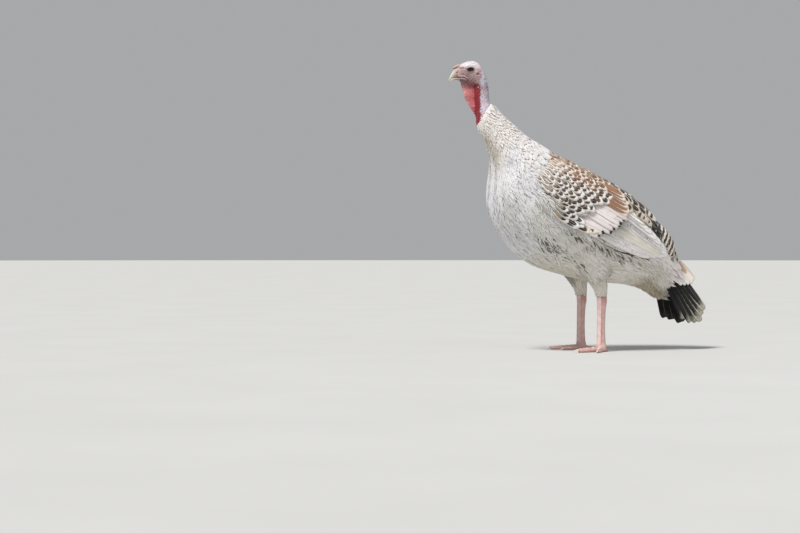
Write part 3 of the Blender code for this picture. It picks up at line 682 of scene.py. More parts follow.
@dataclass(frozen=True)
class FeatherFinish:
    """Keratin barbs hooked into a web: matt, faintly silky, with fine oblique ribs."""

    name: str
    fleck: str = "#55504e"
    fleck_size: float = 3.2 * MM
    barb_pitch: float = 2.4 * MM  # real barbs stand 0.4 mm apart, so these are drawn in clumps
    barb_depth: float = 0.06
    barb_relief: float = 0.16
    inner: str = "#d8c3ae"  # what the ground pales to towards the root, inside a dark crescent
    inner_strength: float = 0.0
    shaft: str = "#efe6da"
    shaft_strength: float = 0.5
    bar_pitch: float = 15 * MM
    bar_wobble: float = 2.5
    band_edge: float = 22.0  # how sharp the tip band's edge is
    root_shade: tuple = (0.45, 0.9, 0.86)  # painted shade towards the root, where the feathers over it would shadow it: from where to where along the vane, and how dark it starts
    roughness: float = 0.72

    def build(self) -> Material:
        """The material, which reads the colours and marks stored with each feather."""
        settings = {"Roughness": self.roughness, "Specular IOR Level": 0.22, "Sheen Weight": 0.12,
                    "Sheen Roughness": 0.5}
        material, tree, shader = new_material(self.name, settings)
        vane = add(tree, "ShaderNodeUVMap", uv_map="vane")
        split = add(tree, "ShaderNodeSeparateXYZ", (vane,))
        barbs = add(tree, "ShaderNodeUVMap", uv_map="barbs")
        place = add(tree, "ShaderNodeSeparateXYZ", (barbs,))
        spot = add(tree, "ShaderNodeTexCoord")
        ground = add(tree, "ShaderNodeAttribute", attribute_name="ground")
        border = add(tree, "ShaderNodeAttribute", attribute_name="border")
        marks = add(tree, "ShaderNodeAttribute", attribute_name="marks")
        amounts = add(tree, "ShaderNodeSeparateColor", (marks,))
        fuzz = add(tree, "ShaderNodeTexNoise",
                   {"Vector": spot.outputs["Object"], "Scale": 1 / (4 * MM), "Detail": 3.0})
        wobble = add(tree, MATH, (fuzz, 0.24, -0.12), operation="MULTIPLY_ADD")

        # How near the feather's rim a place is: 0 along the shaft, 1 at the sides and the tip.
        sideways = add(tree, MATH, (split.outputs[0], 2.0, -1.0), operation="MULTIPLY_ADD")
        sideways = add(tree, MATH, (sideways,), operation="ABSOLUTE")
        cube = add(tree, MATH, (sideways, 3.0), operation="POWER")
        reach = add(tree, MAP_RANGE, (split.outputs[1], 0.4, 1.0, 0.0, 1.0))
        tip = add(tree, MATH, (reach, 3.0), operation="POWER")
        rim = add(tree, MATH, (cube, tip), operation="ADD")
        rim = add(tree, MATH, (rim, 1 / 3), operation="POWER")
        rim = add(tree, MATH, (rim, wobble), operation="ADD")
        inner = add(tree, MATH, (0.97, amounts.outputs[0]), operation="SUBTRACT")
        outer = add(tree, MATH, (inner, 0.09), operation="ADD")
        edge = add(tree, MAP_RANGE, (rim, inner, outer), interpolation_type="SMOOTHSTEP")
        there = add(tree, MATH, (amounts.outputs[0], 30.0), operation="MULTIPLY", use_clamp=True)
        edge = add(tree, MATH, (edge, there), operation="MULTIPLY")

        # A band of the border's colour across the tip.
        foot = add(tree, MATH, (1.0, marks.outputs["Alpha"]), operation="SUBTRACT")
        square = add(tree, MATH, (sideways, 2.0), operation="POWER")
        far = add(tree, MATH, (square, -0.1, split.outputs[1]), operation="MULTIPLY_ADD")
        far = add(tree, MATH, (wobble, 0.6, far), operation="MULTIPLY_ADD")
        band = add(tree, MATH, (far, foot), operation="SUBTRACT")
        band = add(tree, MATH, (band, self.band_edge), operation="MULTIPLY", use_clamp=True)
        banded = add(tree, MATH, (marks.outputs["Alpha"], 30.0), operation="MULTIPLY", use_clamp=True)
        band = add(tree, MATH, (band, banded), operation="MULTIPLY")

        # Bars across the vane, and flecks over it.
        phase = add(tree, MATH, (place.outputs[1], math.tau / self.bar_pitch), operation="MULTIPLY")
        phase = add(tree, MATH, (wobble, self.bar_wobble, phase), operation="MULTIPLY_ADD")
        wave = add(tree, MATH, (phase,), operation="SINE")
        bars = add(tree, MAP_RANGE, (wave, -0.15, 0.25))
        bars = add(tree, MATH, (bars, amounts.outputs[1]), operation="MULTIPLY")
        specks = add(tree, "ShaderNodeTexNoise",
                     {"Vector": spot.outputs["Object"], "Scale": 1 / self.fleck_size, "Detail": 2.0,
                      "Roughness": 0.6})
        specks = add(tree, MAP_RANGE, (specks, 0.55, 0.66))
        specks = add(tree, MATH, (specks, amounts.outputs[2]), operation="MULTIPLY")

        # The barbs run out from the shaft and forwards, so their ribs lie oblique.
        offset = add(tree, MATH, (place.outputs[0],), operation="ABSOLUTE")
        slant = add(tree, MATH, (offset, -0.9, place.outputs[1]), operation="MULTIPLY_ADD")
        slant = add(tree, MATH, (slant, math.tau / self.barb_pitch), operation="MULTIPLY")
        slant = add(tree, MATH, (wobble, 16.0, slant), operation="MULTIPLY_ADD")
        ribs = add(tree, MATH, (slant,), operation="SINE")
        # The ribs also lighten and darken the colour in stripes, as painted shade between the barbs.
        shade = add(tree, MATH, (ribs, self.barb_depth / 2, 1 - self.barb_depth / 2),
                    operation="MULTIPLY_ADD")
        shaft = add(tree, MAP_RANGE, (offset, 0.25 * MM, 0.9 * MM, self.shaft_strength, 0.0))

        near = add(tree, MATH, (wobble, 0.8, split.outputs[1]), operation="MULTIPLY_ADD")
        near = add(tree, MAP_RANGE, (near, 0.48, 0.62, self.inner_strength, 0.0))
        colour = ground
        for share, over in ((near, self.inner), (bars, border), (specks, self.fleck), (shaft, self.shaft),
                            (edge, border), (band, border)):
            over = (*tone(over), 1.0) if isinstance(over, str) else over
            colour = add(tree, MIX, {0: share, 6: colour, 7: over}, data_type="RGBA")
        # The colour darkens towards the vane's root, as painted shade under the overlapping feathers.
        start, stop, dark = self.root_shade
        under = add(tree, MAP_RANGE, (split.outputs[1], start, stop, dark, 1.0))
        shade = add(tree, MATH, (shade, under), operation="MULTIPLY")
        colour = add(tree, MIX, {0: 1.0, 6: colour, 7: shade}, data_type="RGBA", blend_type="MULTIPLY")
        feed(tree, shader, {"Base Color": colour})
        relief = {"Height": ribs, "Strength": self.barb_relief, "Distance": 0.3 * MM}
        bump = add(tree, "ShaderNodeBump", relief)
        feed(tree, shader, {"Normal": bump})
        return material


@dataclass(frozen=True)
class SkinFinish:
    """Bare living skin or scale: soft, finely granular, with light that sinks in a little."""

    name: str
    grain_size: float = 1.3 * MM
    mottle_size: float = 6 * MM
    mottle: float = 0.22
    roughness: float = 0.46
    depth: float = 0.5  # of the granules, as bump

    def build(self) -> Material:
        """The material, which reads the tint and the strength of grain stored on the mesh."""
        settings = {"Roughness": self.roughness, "Specular IOR Level": 0.4, "Subsurface Weight": 0.12,
                    "Subsurface Radius": (1.0, 0.35, 0.25), "Subsurface Scale": 2 * MM}
        material, tree, shader = new_material(self.name, settings)
        spot = add(tree, "ShaderNodeTexCoord")
        tint = add(tree, "ShaderNodeAttribute", attribute_name="tint")
        rough = add(tree, "ShaderNodeAttribute", attribute_name="grain")
        cells = add(tree, "ShaderNodeTexVoronoi",
                    {"Vector": spot.outputs["Object"], "Scale": 1 / self.grain_size}, feature="SMOOTH_F1")
        cloud = add(tree, "ShaderNodeTexNoise",
                    {"Vector": spot.outputs["Object"], "Scale": 1 / self.mottle_size, "Detail": 4.0})
        shade = add(tree, MAP_RANGE, (cloud, 0.25, 0.75, 1 - self.mottle, 1 + self.mottle))
        # The grooves between the granules are darkened as painted shade, besides being sunk by the bump.
        pits = add(tree, MATH, (cells, rough.outputs["Fac"]), operation="MULTIPLY")
        dark = add(tree, MATH, (pits, -0.45, 1.0), operation="MULTIPLY_ADD")
        shade = add(tree, MATH, (shade, dark), operation="MULTIPLY")
        colour = add(tree, MIX, {0: 1.0, 6: tint, 7: shade}, data_type="RGBA", blend_type="MULTIPLY")
        feed(tree, shader, {"Base Color": colour})
        relief = add(tree, MATH, (pits, -1.0), operation="MULTIPLY")
        bump = add(tree, "ShaderNodeBump", {"Height": relief, "Strength": self.depth, "Distance": 0.5 * MM})
        feed(tree, shader, {"Normal": bump})
        return material


@dataclass(frozen=True)
class HornFinish:
    """Bill and claw horn: dense keratin, satin, with faint lengthwise growth streaks."""

    name: str
    roughness: float = 0.34
    streak: float = 0.16

    def build(self) -> Material:
        """The material, which reads the tint stored on the mesh."""
        settings = {"Roughness": self.roughness, "Specular IOR Level": 0.5, "Subsurface Weight": 0.08,
                    "Subsurface Radius": (1.0, 0.7, 0.5), "Subsurface Scale": 1 * MM}
        material, tree, shader = new_material(self.name, settings)
        spot = add(tree, "ShaderNodeTexCoord")
        tint = add(tree, "ShaderNodeAttribute", attribute_name="tint")
        cloud = add(tree, "ShaderNodeTexNoise",
                    {"Vector": spot.outputs["Object"], "Scale": 1 / (2.2 * MM), "Detail": 5.0})
        shade = add(tree, MAP_RANGE, (cloud, 0.3, 0.7, 1 - self.streak, 1 + self.streak / 2))
        colour = add(tree, MIX, {0: 1.0, 6: tint, 7: shade}, data_type="RGBA", blend_type="MULTIPLY")
        feed(tree, shader, {"Base Color": colour})
        bump = add(tree, "ShaderNodeBump", {"Height": cloud, "Strength": 0.25, "Distance": 0.2 * MM})
        feed(tree, shader, {"Normal": bump})
        return material


@dataclass(frozen=True)
class EyeFinish:
    """A wet eye: a brown iris round a black pupil, under a clear glossy cornea."""

    name: str = "wet eye"

    def build(self) -> Material:
        """The material, which reads the tint stored on the mesh."""
        settings = {"Roughness": 0.05, "Specular IOR Level": 0.5}
        material, tree, shader = new_material(self.name, settings)
        tint = add(tree, "ShaderNodeAttribute", attribute_name="tint")
        feed(tree, shader, {"Base Color": tint})
        return material


@dataclass(frozen=True)
class FloorFinish:
    """A painted studio floor: pale, matt and even."""

    colour: str = "#c4c3c0"

    def build(self) -> Material:
        """The material."""
        material, tree, shader = new_material("studio floor", {"Roughness": 0.85, "Specular IOR Level": 0.2})
        spot = add(tree, "ShaderNodeTexCoord")
        cloud = add(tree, "ShaderNodeTexNoise", {"Vector": spot.outputs["Object"], "Scale": 3.0,
                                                 "Detail": 3.0})
        shade = add(tree, MAP_RANGE, (cloud, 0.3, 0.7, 0.98, 1.02))
        colour = add(tree, MIX, {0: 1.0, 6: (*tone(self.colour), 1.0), 7: shade},
                     data_type="RGBA", blend_type="MULTIPLY")
        feed(tree, shader, {"Base Color": colour})
        return material


@dataclass
class Dress:
    """The colours and marks of a batch of feathers, one row each.

    marks are the border's width, the strength of bars, that of flecks, and the tip band's width.
    """

    ground: Array
    border: Array
    marks: Array


@dataclass
class Vanes:
    """The feathers of one piece, gathered batch by batch and then made into one mesh."""

    name: str
    rng: np.random.Generator
    columns: int = 5
    thickness: float = 0.5 * MM
    patch: float = 0.003  # how wide a feather's place on the baking map is
    uneven: float = 0.06  # how far the widths stray, as a share
    lists: defaultdict = field(default_factory=lambda: defaultdict(list))
    total: int = 0

    def lay(self, path: Array, across: Array, up: Array, half: Array, outline: Outline,
            dress: Dress, root: Array, camber: float = 0.18, ragged: float = 0.0,
            end: Array | None = None) -> None:
        """Adds a batch of feathers, each a thin closed blade that is arched over its shaft.

        Args:
            path: Points from root to tip, for each feather and each step of the outline.
            across: The sideways direction at each point.
            up: The direction away from the body at each point.
            half: Each feather's half width.
            outline: How its width runs along it.
            dress: Its colours and marks.
            root: Its root's place on the skin's unwrap, as two shares.
            camber: The arch's height as a share of the half width.
            ragged: How far the barbs' ends stray along the rim.
            end: Where the tips stand for the bars, so that neighbours' bars fall in line.
        """
        count, steps = path.shape[:2]
        shares = np.array([s for s, _ in outline.value])
        width = np.array([w for _, w in outline.value]) * np.asarray(half, float)[:, None]
        width = width * (1 + self.rng.uniform(-self.uneven, self.uneven, (count, steps)))
        x = np.linspace(-1.0, 1.0, self.columns)
        crown = 1 - x ** 2
        rise = camber * crown * width[..., None] + self.thickness * 0.5 * crown
        top = path[:, :, None] + across[:, :, None] * (x * width[..., None])[..., None]
        top = top + up[:, :, None] * rise[..., None]
        if ragged:
            along = unit(np.gradient(path, axis=1))
            stray = self.rng.normal(0.0, ragged, (count, steps, self.columns)) * (shares ** 2)[:, None]
            top = top + along[:, :, None] * stray[..., None]
        low = path + up * (camber * 0.5 * width - self.thickness * 0.5)[..., None]
        ring = self.columns + 1
        points = np.concatenate([top, low[:, :, None]], 2).reshape(count, -1, 3)
        faces, flat = self.cage(steps, ring)
        middle = steps // 2
        forward = path[:, middle] - path[:, middle - 1]
        facing = (np.cross(across[:, middle], forward) * up[:, middle]).sum(-1) > 0.0
        start = self.total + np.arange(count) * (steps * ring)
        wound = [np.concatenate(f) for f in (faces, [f[::-1] for f in faces])]
        for keep, pattern in ((facing, wound[0]), (~facing, wound[1])):
            if not keep.any():
                continue
            self.lists["loops"].append((start[keep][:, None] + pattern).ravel())
            self.lists["sizes"].append(np.tile([len(f) for f in faces], keep.sum()))
            self.lists["flat"].append(np.tile(flat, keep.sum()))
        self.lists["co"].append(points.reshape(-1, 3))
        u = np.append((x + 1) / 2, 0.5)
        uv = np.stack(np.broadcast_arrays(u, shares[:, None]), -1).reshape(-1, 2)
        self.lists["vane"].append(np.tile(uv, (count, 1)))
        length = np.linalg.norm(np.diff(path, axis=1), axis=-1).sum(1)
        real = np.empty((count, steps, ring, 2))
        real[..., 0] = (u * 2 - 1) * width[..., None]
        start = 0.0 if end is None else (end - length)[:, None]
        real[..., 1] = (shares * length[:, None] + start)[..., None]
        self.lists["barbs"].append(real.reshape(-1, 2))
        spot = np.asarray(root)[:, None] + (uv[None] - 0.5) * self.patch
        self.lists["OFBake"].append(np.clip(spot, 0.0, 1.0).reshape(-1, 2))
        each = steps * ring
        for name in ("ground", "border", "marks"):
            self.lists[name].append(np.repeat(getattr(dress, name), each, 0))
        self.total += count * each

    def cover(self, shape: object, t: tuple, angle: tuple, lifts: Array, half: Array, outline: Outline,
              dress: Dress, root: Array, camber: float, ragged: float, side: float = 1.0,
              roll: float = 0.0) -> None:
        """Adds a batch of feathers that lie along a shape.

        Args:
            shape: What they lie on, with a point method.
            t: Ring numbers of the roots and of the tips.
            angle: Their angles round the ring.
            lifts: How far each feather's root, middle and tip stand off.
            half: Each feather's half width.
            outline: How its width runs along it.
            dress: Its colours and marks.
            root: Its root's place on the skin's unwrap.
            camber: The arch's height as a share of the half width.
            ragged: How far the barbs' ends stray.
            side: -1 mirrors them to the bird's right.
            roll: How much each is turned about its shaft.
        """
        ts = along_rows(*t, outline)
        path, across, up = lie(shape, ts, along_rows(*angle, outline), through(lifts, outline), side, roll)
        self.lay(path, across, up, half, outline, dress, root, camber, ragged)

    @staticmethod
    def cage(steps: int, ring: int) -> tuple[list, list]:
        """One blade's faces.

        Args:
            steps: Rows of points from root to tip.
            ring: Points in a row, of which the last is underneath.

        Returns:
            The faces as point numbers, and which of them are shaded flat.
        """
        faces = []
        flat = []
        for i in range(steps - 1):
            for j in range(ring):
                k = (j + 1) % ring
                faces.append([i * ring + j, i * ring + k, (i + 1) * ring + k, (i + 1) * ring + j])
                flat.append(j >= ring - 2)
        faces.append(list(range(ring - 1, -1, -1)))
        faces.append([(steps - 1) * ring + j for j in range(ring)])
        return faces, flat + [True, True]

    def build(self, material: Material, slot: str, replaced: tuple = ()) -> Object:
        """Makes the gathered feathers into one piece.

        Args:
            material: Their finish.
            slot: Not used.
            replaced: The solids that the piece stands for.

        Returns:
            The piece.
        """
        mesh = bpy.data.meshes.new(self.name)
        made = {key: np.concatenate(rows) for key, rows in self.lists.items()}
        co, loops, sizes = made["co"], made["loops"], made["sizes"]
        mesh.vertices.add(len(co))
        mesh.vertices.foreach_set("co", co.ravel())
        mesh.loops.add(len(loops))
        mesh.loops.foreach_set("vertex_index", loops.astype(np.int32))
        mesh.polygons.add(len(sizes))
        starts = np.concatenate([[0], np.cumsum(sizes)[:-1]])
        mesh.polygons.foreach_set("loop_start", starts.astype(np.int32))
        mesh.polygons.foreach_set("use_smooth", ~made["flat"].astype(bool))
        mesh.update(calc_edges=True)
        for name in ("vane", "barbs", "OFBake"):
            mesh.uv_layers.new(name=name).data.foreach_set("uv", made[name][loops].ravel())
        for name in ("ground", "border", "marks"):
            paint(mesh, name, made[name])
        thing = new_object(self.name, mesh)
        finish_piece(thing, material, replaced)
        return thing


def lie(shape: object, t: Array, angle: Array, lift: Array, side: float = 1.0,
        roll: float = 0.0) -> tuple[Array, Array, Array]:
    """Lays feathers along a shape.

    Args:
        shape: What they lie on, with a point method.
        t: Ring number for each feather and each step.
        angle: The angle round the ring at each.
        lift: How far each stands off.
        side: -1 mirrors them to the bird's right.
        roll: How much each is turned about its shaft.

    Returns:
        The path, the sideways direction and the outward direction at each step.
    """
    path = shape.point(t, angle, lift)
    around = shape.point(t, angle + NUDGE, lift) - shape.point(t, angle - NUDGE, lift)
    run = shape.point(t + NUDGE, angle, lift) - shape.point(t - NUDGE, angle, lift)
    outward = unit(np.cross(around, run))
    stand = shape.point(t, angle, lift + STAND) - path
    outward = outward * np.sign((outward * stand).sum(-1, keepdims=True))
    along = unit(np.gradient(path, axis=1))
    across = unit(np.cross(outward, along))
    up = np.cross(along, across)
    across = unit(across - up * math.tan(roll))
    up = np.cross(along, across)
    for grid in (path, across, up):
        grid[..., 0] *= side
    return path, across, up


def along_rows(start: Array, end: Array, outline: Outline) -> Array:
    """Values that run from start to end by the outline's shares, one row for each feather."""
    shares = np.array([s for s, _ in outline.value])
    start = np.asarray(start, float)[:, None]
    return start + (np.asarray(end, float)[:, None] - start) * shares


def through(values: Array, outline: Outline) -> Array:
    """Lifts at the root, the middle and the tip, read at the outline's shares."""
    shares = np.array([s for s, _ in outline.value])
    values = np.atleast_2d(values)
    low = values[:, :1] * (1 - shares) * (1 - 2 * shares)
    middle = values[:, 1:2] * 4 * shares * (1 - shares)
    high = values[:, 2:3] * shares * (2 * shares - 1)
    return low + middle + high


def wing_bulge(t: Array, rise: Array) -> Array:
    """How thick the folded wing is over the body.

    Args:
        t: Ring number.
        rise: Degrees up from the body's side line.

    Returns:
        The height of the wing's flesh over the body's surface.
    """
    u = (4.75 - np.asarray(t, float)) / 3.6
    nose = np.sqrt(np.clip(1 - (1 - np.clip(u / 0.16, 0.0, 1.0)) ** 2, 0.03, 1.0))
    crest = 0.0125 * (0.45 + 0.55 * nose) * (1 - 0.72 * ramp(u, 0.15, 0.75))
    v = (np.asarray(rise, float) - 23.5 + 15 * ramp(u, 0.45, 0.55)) / 34.5
    bulge = np.sqrt(np.clip(1 - np.abs(v) ** 2.6, 0.0, 1.0))
    inside = (u > 0.0) & (u < 1.0)
    return np.where(inside, crest * bulge, 0.0)


def rise_of(angle: Array) -> Array:
    """Degrees up from the side line, on either side of the bird."""
    return np.degrees(np.arcsin(np.clip(np.sin(angle), -1.0, 1.0)))


def spot(t: Array, rise: Array, at: tuple, size: tuple) -> Array:
    """How deep each place lies in a soft-edged blotch at a ring number and degrees, from 0 to 1."""
    return np.exp(-((t - at[0]) / size[0]) ** 2 - ((rise - at[1]) / size[1]) ** 2)


@dataclass
class Skin:
    """One skin from the rump to the bill's base, with the thighs, the flap, the lids and the folds."""

    material: Material
    coat_depth: tuple = ((0.0, 6.0, 8.0, 8.9, 9.3), (5 * MM, 4.5 * MM, 3 * MM, 1.2 * MM, 0.0))
    body_rings: int = 84
    body_around: int = 96
    voxel: float = 0.85 * MM
    eye: tuple = (0.0257, 0.0083, 0.6603)  # ahead, aside, up
    eye_radius: float = 8.5 * MM
    eye_depth: float = 7.2 * MM
    lid: float = 1.2 * MM
    opening: tuple = (7.5 * MM, 4.9 * MM)
    ear: tuple = (0.0085, 0.6485)
    feather_line: float = 9.0
    cere: tuple = ((0.0495, 0.6745, 0.6318, 0.0112), (0.053, 0.6722, 0.6345, 0.0105),
                   (0.056, 0.666, 0.64, 0.0086))  # the skin's last rings, which sink into the bill's base
    folds: tuple = (  # points ahead and up, then width and depth in millimetres; ridges are negative
        (((0.055, 0.6425), (0.044, 0.642), (0.0375, 0.6405), (0.0335, 0.637), (0.0318, 0.6335)), 0.9, 1.9),
        (((0.053, 0.645), (0.044, 0.6444), (0.0375, 0.6428), (0.033, 0.639)), 1.1, -0.8),
        (((0.053, 0.6398), (0.044, 0.6396), (0.038, 0.6383), (0.034, 0.6345)), 1.1, -1.1),
        (((0.05, 0.6372), (0.0405, 0.6352), (0.0345, 0.6312), (0.0305, 0.6255)), 0.9, 1.3),
        (((0.0475, 0.6486), (0.0385, 0.6466), (0.031, 0.643), (0.0275, 0.6375)), 0.9, 1.2),
        (((0.0455, 0.6512), (0.0365, 0.6492), (0.028, 0.6462), (0.0235, 0.64)), 1.0, 0.9),
        (((0.042, 0.631), (0.03, 0.627), (0.02, 0.6225), (0.012, 0.6195)), 1.0, 1.0),
        (((0.038, 0.6672), (0.027, 0.6722), (0.015, 0.6698)), 1.6, -1.1),
        (((0.051, 0.6625), (0.045, 0.664), (0.0385, 0.6628), (0.035, 0.66)), 1.0, 1.2),
        (((0.0385, 0.656), (0.033, 0.6508), (0.0255, 0.649), (0.017, 0.652)), 0.8, 0.9),
        (((0.016, 0.656), (0.011, 0.659), (0.005, 0.66)), 0.9, 0.6),
        (((0.016, 0.647), (0.018, 0.64), (0.024, 0.634)), 1.1, 0.8),
        (((0.012, 0.64), (0.014, 0.633), (0.019, 0.627)), 1.0, 0.7),
    )

    def depth(self, t: Array) -> Array:
        """How deep the skin lies under the coat's tips at a ring number."""
        return np.interp(t, *self.coat_depth)

    def trunk(self) -> Object:
        """The feathered body's skin, with the wing's flesh as a swelling on each side."""
        angles = circle(self.body_around)
        rise = rise_of(angles)
        rings = []
        for bend in np.radians((80.0, 60.0, 40.0, 20.0)):
            lift = -self.depth(0.0)
            rings.append(BODY.point(0.0, angles, lift, math.cos(bend),
                                    BODY.rump_dome * math.sin(bend) + lift))
        for t in np.linspace(0.0, self.feather_line, self.body_rings):
            swell = wing_bulge(t, rise)
            rings.append(BODY.point(t, angles, swell * 0.85 - self.depth(t)))
        return loft("skin", rings)

    def neck_and_head(self) -> Object:
        """The bare neck, the head, the lids and the flap, melted into one surface."""
        angles = circle(40)
        neck = loft("bare", [BODY.point(t, angles, -self.depth(t)) for t in np.linspace(8.5, 12.0, 30)])
        head = loft("head part", HEAD.rings(HEAD.head[:-1] + self.cere, 48, 48, 2.2))
        pieces = [neck, head, self.throat_flap()]
        forward, left, up = HEAD.axes()
        for side in Side:
            centre = self.eye_place(side)
            reach = self.eye_radius + self.lid
            pieces.append(ball("lids", centre, (left, forward, up),
                               (self.eye_depth + self.lid, reach, reach)))
        return remesh(pieces, self.voxel, 3)

    def throat_flap(self) -> Object:
        """The hanging flap, as level slices with a thin wavy front edge."""
        rings = []
        for height, front, half in natural_cubic(HEAD.flap, np.linspace(0.0, len(HEAD.flap) - 1, 30)):
            wave = HEAD.flap_wave * math.sin(height * 190)
            share = np.linspace(0.0, 1.0, 9)
            ahead = 0.004 + (front - 0.004) * share
            thin = half * (1 - 0.55 * share ** 2)
            near = HEAD.point(ahead, wave * share + thin, height)
            off = HEAD.point(ahead[::-1], (wave * share - thin)[::-1], height)
            rings.append(np.concatenate([near, off]))
        return loft("flap", rings)

    def eye_place(self, side: Side) -> Array:
        """The middle of one eye."""
        return HEAD.point(self.eye[0], side.value * self.eye[1], self.eye[2])

    def creases(self, ahead: Array, up: Array) -> Array:
        """How deep the face's folds are at places given ahead and up."""
        total = np.zeros(len(ahead))
        for points, width, depth in self.folds:
            best = np.full(len(ahead), 1.0)
            for (a0, h0), (a1, h1) in zip(points, points[1:]):
                run = np.array((a1 - a0, h1 - h0))
                k = np.clip(((ahead - a0) * run[0] + (up - h0) * run[1]) / (run @ run), 0.0, 1.0)
                best = np.minimum(best, np.hypot(ahead - a0 - k * run[0], up - h0 - k * run[1]))
            total += depth * MM * np.exp(-(best / (width * MM)) ** 2)
        return total

    def sculpt(self, thing: Object) -> None:
        """Presses the mouth line, ears, folds and granules into the bare skin."""
        mesh = thing.data
        co = positions(mesh)
        ahead, aside, up = HEAD.own(co)
        on_head = ramp(up, 0.614, 0.01) * ramp(np.abs(aside), 0.002, 0.004)
        out = -self.creases(ahead, up) * on_head
        hole = np.hypot(ahead - self.ear[0], up - self.ear[1])
        out -= 2.4 * MM * np.exp(-(hole / (2.6 * MM)) ** 2) * on_head
        out += 0.8 * MM * np.exp(-((hole - 4.6 * MM) / (1 * MM)) ** 2) * on_head

        flap = ramp(ahead, 0.018, 0.004) * ramp(up, 0.632, -0.006)
        below = ramp(up, 0.62, -0.006)
        fine = lumps(co, 1.7 * MM, 3.0)
        broad = lumps(co, 4.5 * MM, 8.0)
        near_eye = np.hypot(ahead - self.eye[0], up - self.eye[2]) / (11 * MM)
        calm = ramp(near_eye, 0.85, 0.3)
        out += (fine * 0.22 + broad * 0.35) * MM * calm * (1 - below)
        out += flap * (fine * 0.45 + broad * 0.5) * MM
        ripple = np.sin(up / (3.1 * MM) * math.tau + broad * 3.5 + ahead / (9 * MM))
        out += below * (1 - flap) * (ripple * 0.3 + fine * 0.3 + broad * 0.55) * MM
        co += normals(mesh) * out[:, None]
        move_points(mesh, co)

    def eye_cutters(self) -> list:
        """What is cut out of the head for each eye: its ball, and the gap between its lids."""
        forward, left, up = HEAD.axes()
        cutters = []
        for side in Side:
            reach = self.eye_radius + 0.05 * MM
            halves = (self.eye_depth + 0.05 * MM, reach, reach)
            cutters.append(ball("socket", self.eye_place(side), (left, forward, up), halves, 32, 48))
            turns = circle(40)
            ahead = self.eye[0] + self.opening[0] * np.cos(turns)
            height = self.eye[2] + self.opening[1] * np.sin(turns) * (1 - 0.25 * np.cos(turns) ** 2)
            rings = [HEAD.point(ahead, side.value * (self.eye[1] + reach), height) for reach in (0.0, 0.013)]
            cutters.append(loft("gap", rings))
        return cutters

    def tint(self, co: Array, plumage: Callable) -> tuple[Array, Array]:
        """The skin's colours and how granular it is.

        Args:
            co: The skin's points.
            plumage: Gives the coat's colours at points, which the skin under it shares.

        Returns:
            A colour and a strength of grain for each point.
        """
        ahead, _, up = HEAD.own(co)
        broad = lumps(co, 7 * MM, 5.0)
        fine = lumps(co, 2.4 * MM, 6.0)
        patchy = lumps(co, 13 * MM, 9.0)
        # Paler towards the crown: partly the crown's pale skin, partly painted light from above.
        high = smoothstep((up - 0.652 + patchy * 3 * MM) / 0.022)
        colour = blend("#a58b8b", "#d3c8cb", high)
        cheek = np.exp(-((ahead - 0.036) / 0.014) ** 2 - ((up - 0.648) / 0.01) ** 2)
        colour = blend(colour, "#9b7270", 0.7 * cheek * (0.7 + 0.5 * patchy))
        lore = np.exp(-((ahead - 0.046) / 0.006) ** 2 - ((up - 0.6635) / 0.0032) ** 2)
        colour = blend(colour, "#8f5050", 0.8 * lore)
        # Painted shade, dark brown-red, under the jaw.
        jaw_shade = ramp(up, 0.642, -0.01) * ramp(up, 0.612, 0.006)
        colour = blend(colour, "#6f4a46", 0.65 * jaw_shade * ramp(ahead, 0.004, 0.02))
        ring = np.hypot((ahead - self.eye[0]) / 1.35, up - self.eye[2])
        colour = blend(colour, "#4c3b3d", 0.85 * np.exp(-((ring - 6 * MM) / (1.5 * MM)) ** 2))
        # Painted shade in the ear's hollow.
        hole = np.hypot(ahead - self.ear[0], up - self.ear[1])
        colour = blend(colour, "#6d4a4b", 0.8 * np.exp(-(hole / (2.6 * MM)) ** 2))
        # Painted shade in the face's creases, and a painted highlight on its ridges.
        colour = colour * (1 - 0.42 * np.clip(self.creases(ahead, up) / (1.2 * MM), -0.25, 1.0))[:, None]
        colour = blend(colour, "#b39a96", ramp(ahead, 0.0475, 0.005) * ramp(up, 0.644, 0.003))
        nape = smoothstep((0.006 - ahead + broad * 2 * MM) / 0.008)
        colour = blend(colour, "#c3c1cf", 0.8 * nape)
        red = ramp(lumps(co, 5 * MM, 12.0), 0.3, 0.12) * ramp(ahead, 0.01, -0.006)
        colour = blend(colour, "#a8434c", 0.55 * red * ramp(up, 0.668, -0.01))
        below = smoothstep((0.6275 + ahead * 0.12 - up + (patchy * 3 + fine * 1) * MM) / 0.006)
        front = smoothstep((ahead - 0.0015 + (patchy * 3 + broad * 1.8 + fine * 1.2) * MM) / (3 * MM))
        neck = blend("#c6c7d6", "#d2bec6", 0.5 + 0.5 * broad)
        # Deep crimson down the neck's front, behind the flap: red skin, darkened partly as painted shade.
        neck = blend(neck, blend("#7d1c23", "#a5313a", 0.5 + 0.6 * fine), front)
        speck = ramp(fine, 0.28, 0.2) * ramp(broad, -0.2, 0.4)
        neck = blend(neck, "#b8606a", 0.6 * speck * (1 - front))
        colour = blend(colour, neck, below)
        flap_edge = 0.0165 + ramp(up, 0.6, -0.06) * -0.003 + (patchy * 2.6 + fine * 1) * MM
        flap = below * smoothstep((ahead - flap_edge) / (3.4 * MM))
        salmon = blend("#c9656a", "#dd9c97", smoothstep((ahead - 0.02) / 0.026 + 0.2 * broad))
        colour = blend(colour, salmon, flap)
        shadow = ramp(up, 0.606, 0.012) * below
        colour = blend(colour, "#6c3233", 0.45 * shadow)
        colour = colour * (1 + 0.14 * fine[:, None])
        line = BODY.point(self.feather_line, 0.0)[2]
        feathered = smoothstep((line - 0.022 - up) / 0.008)
        colour = blend(colour, plumage(co), feathered)
        grain = np.clip(0.35 + 0.65 * below + 0.4 * flap, 0.0, 1.0) * (1 - feathered)
        return np.clip(colour, 0.0, 1.0), grain

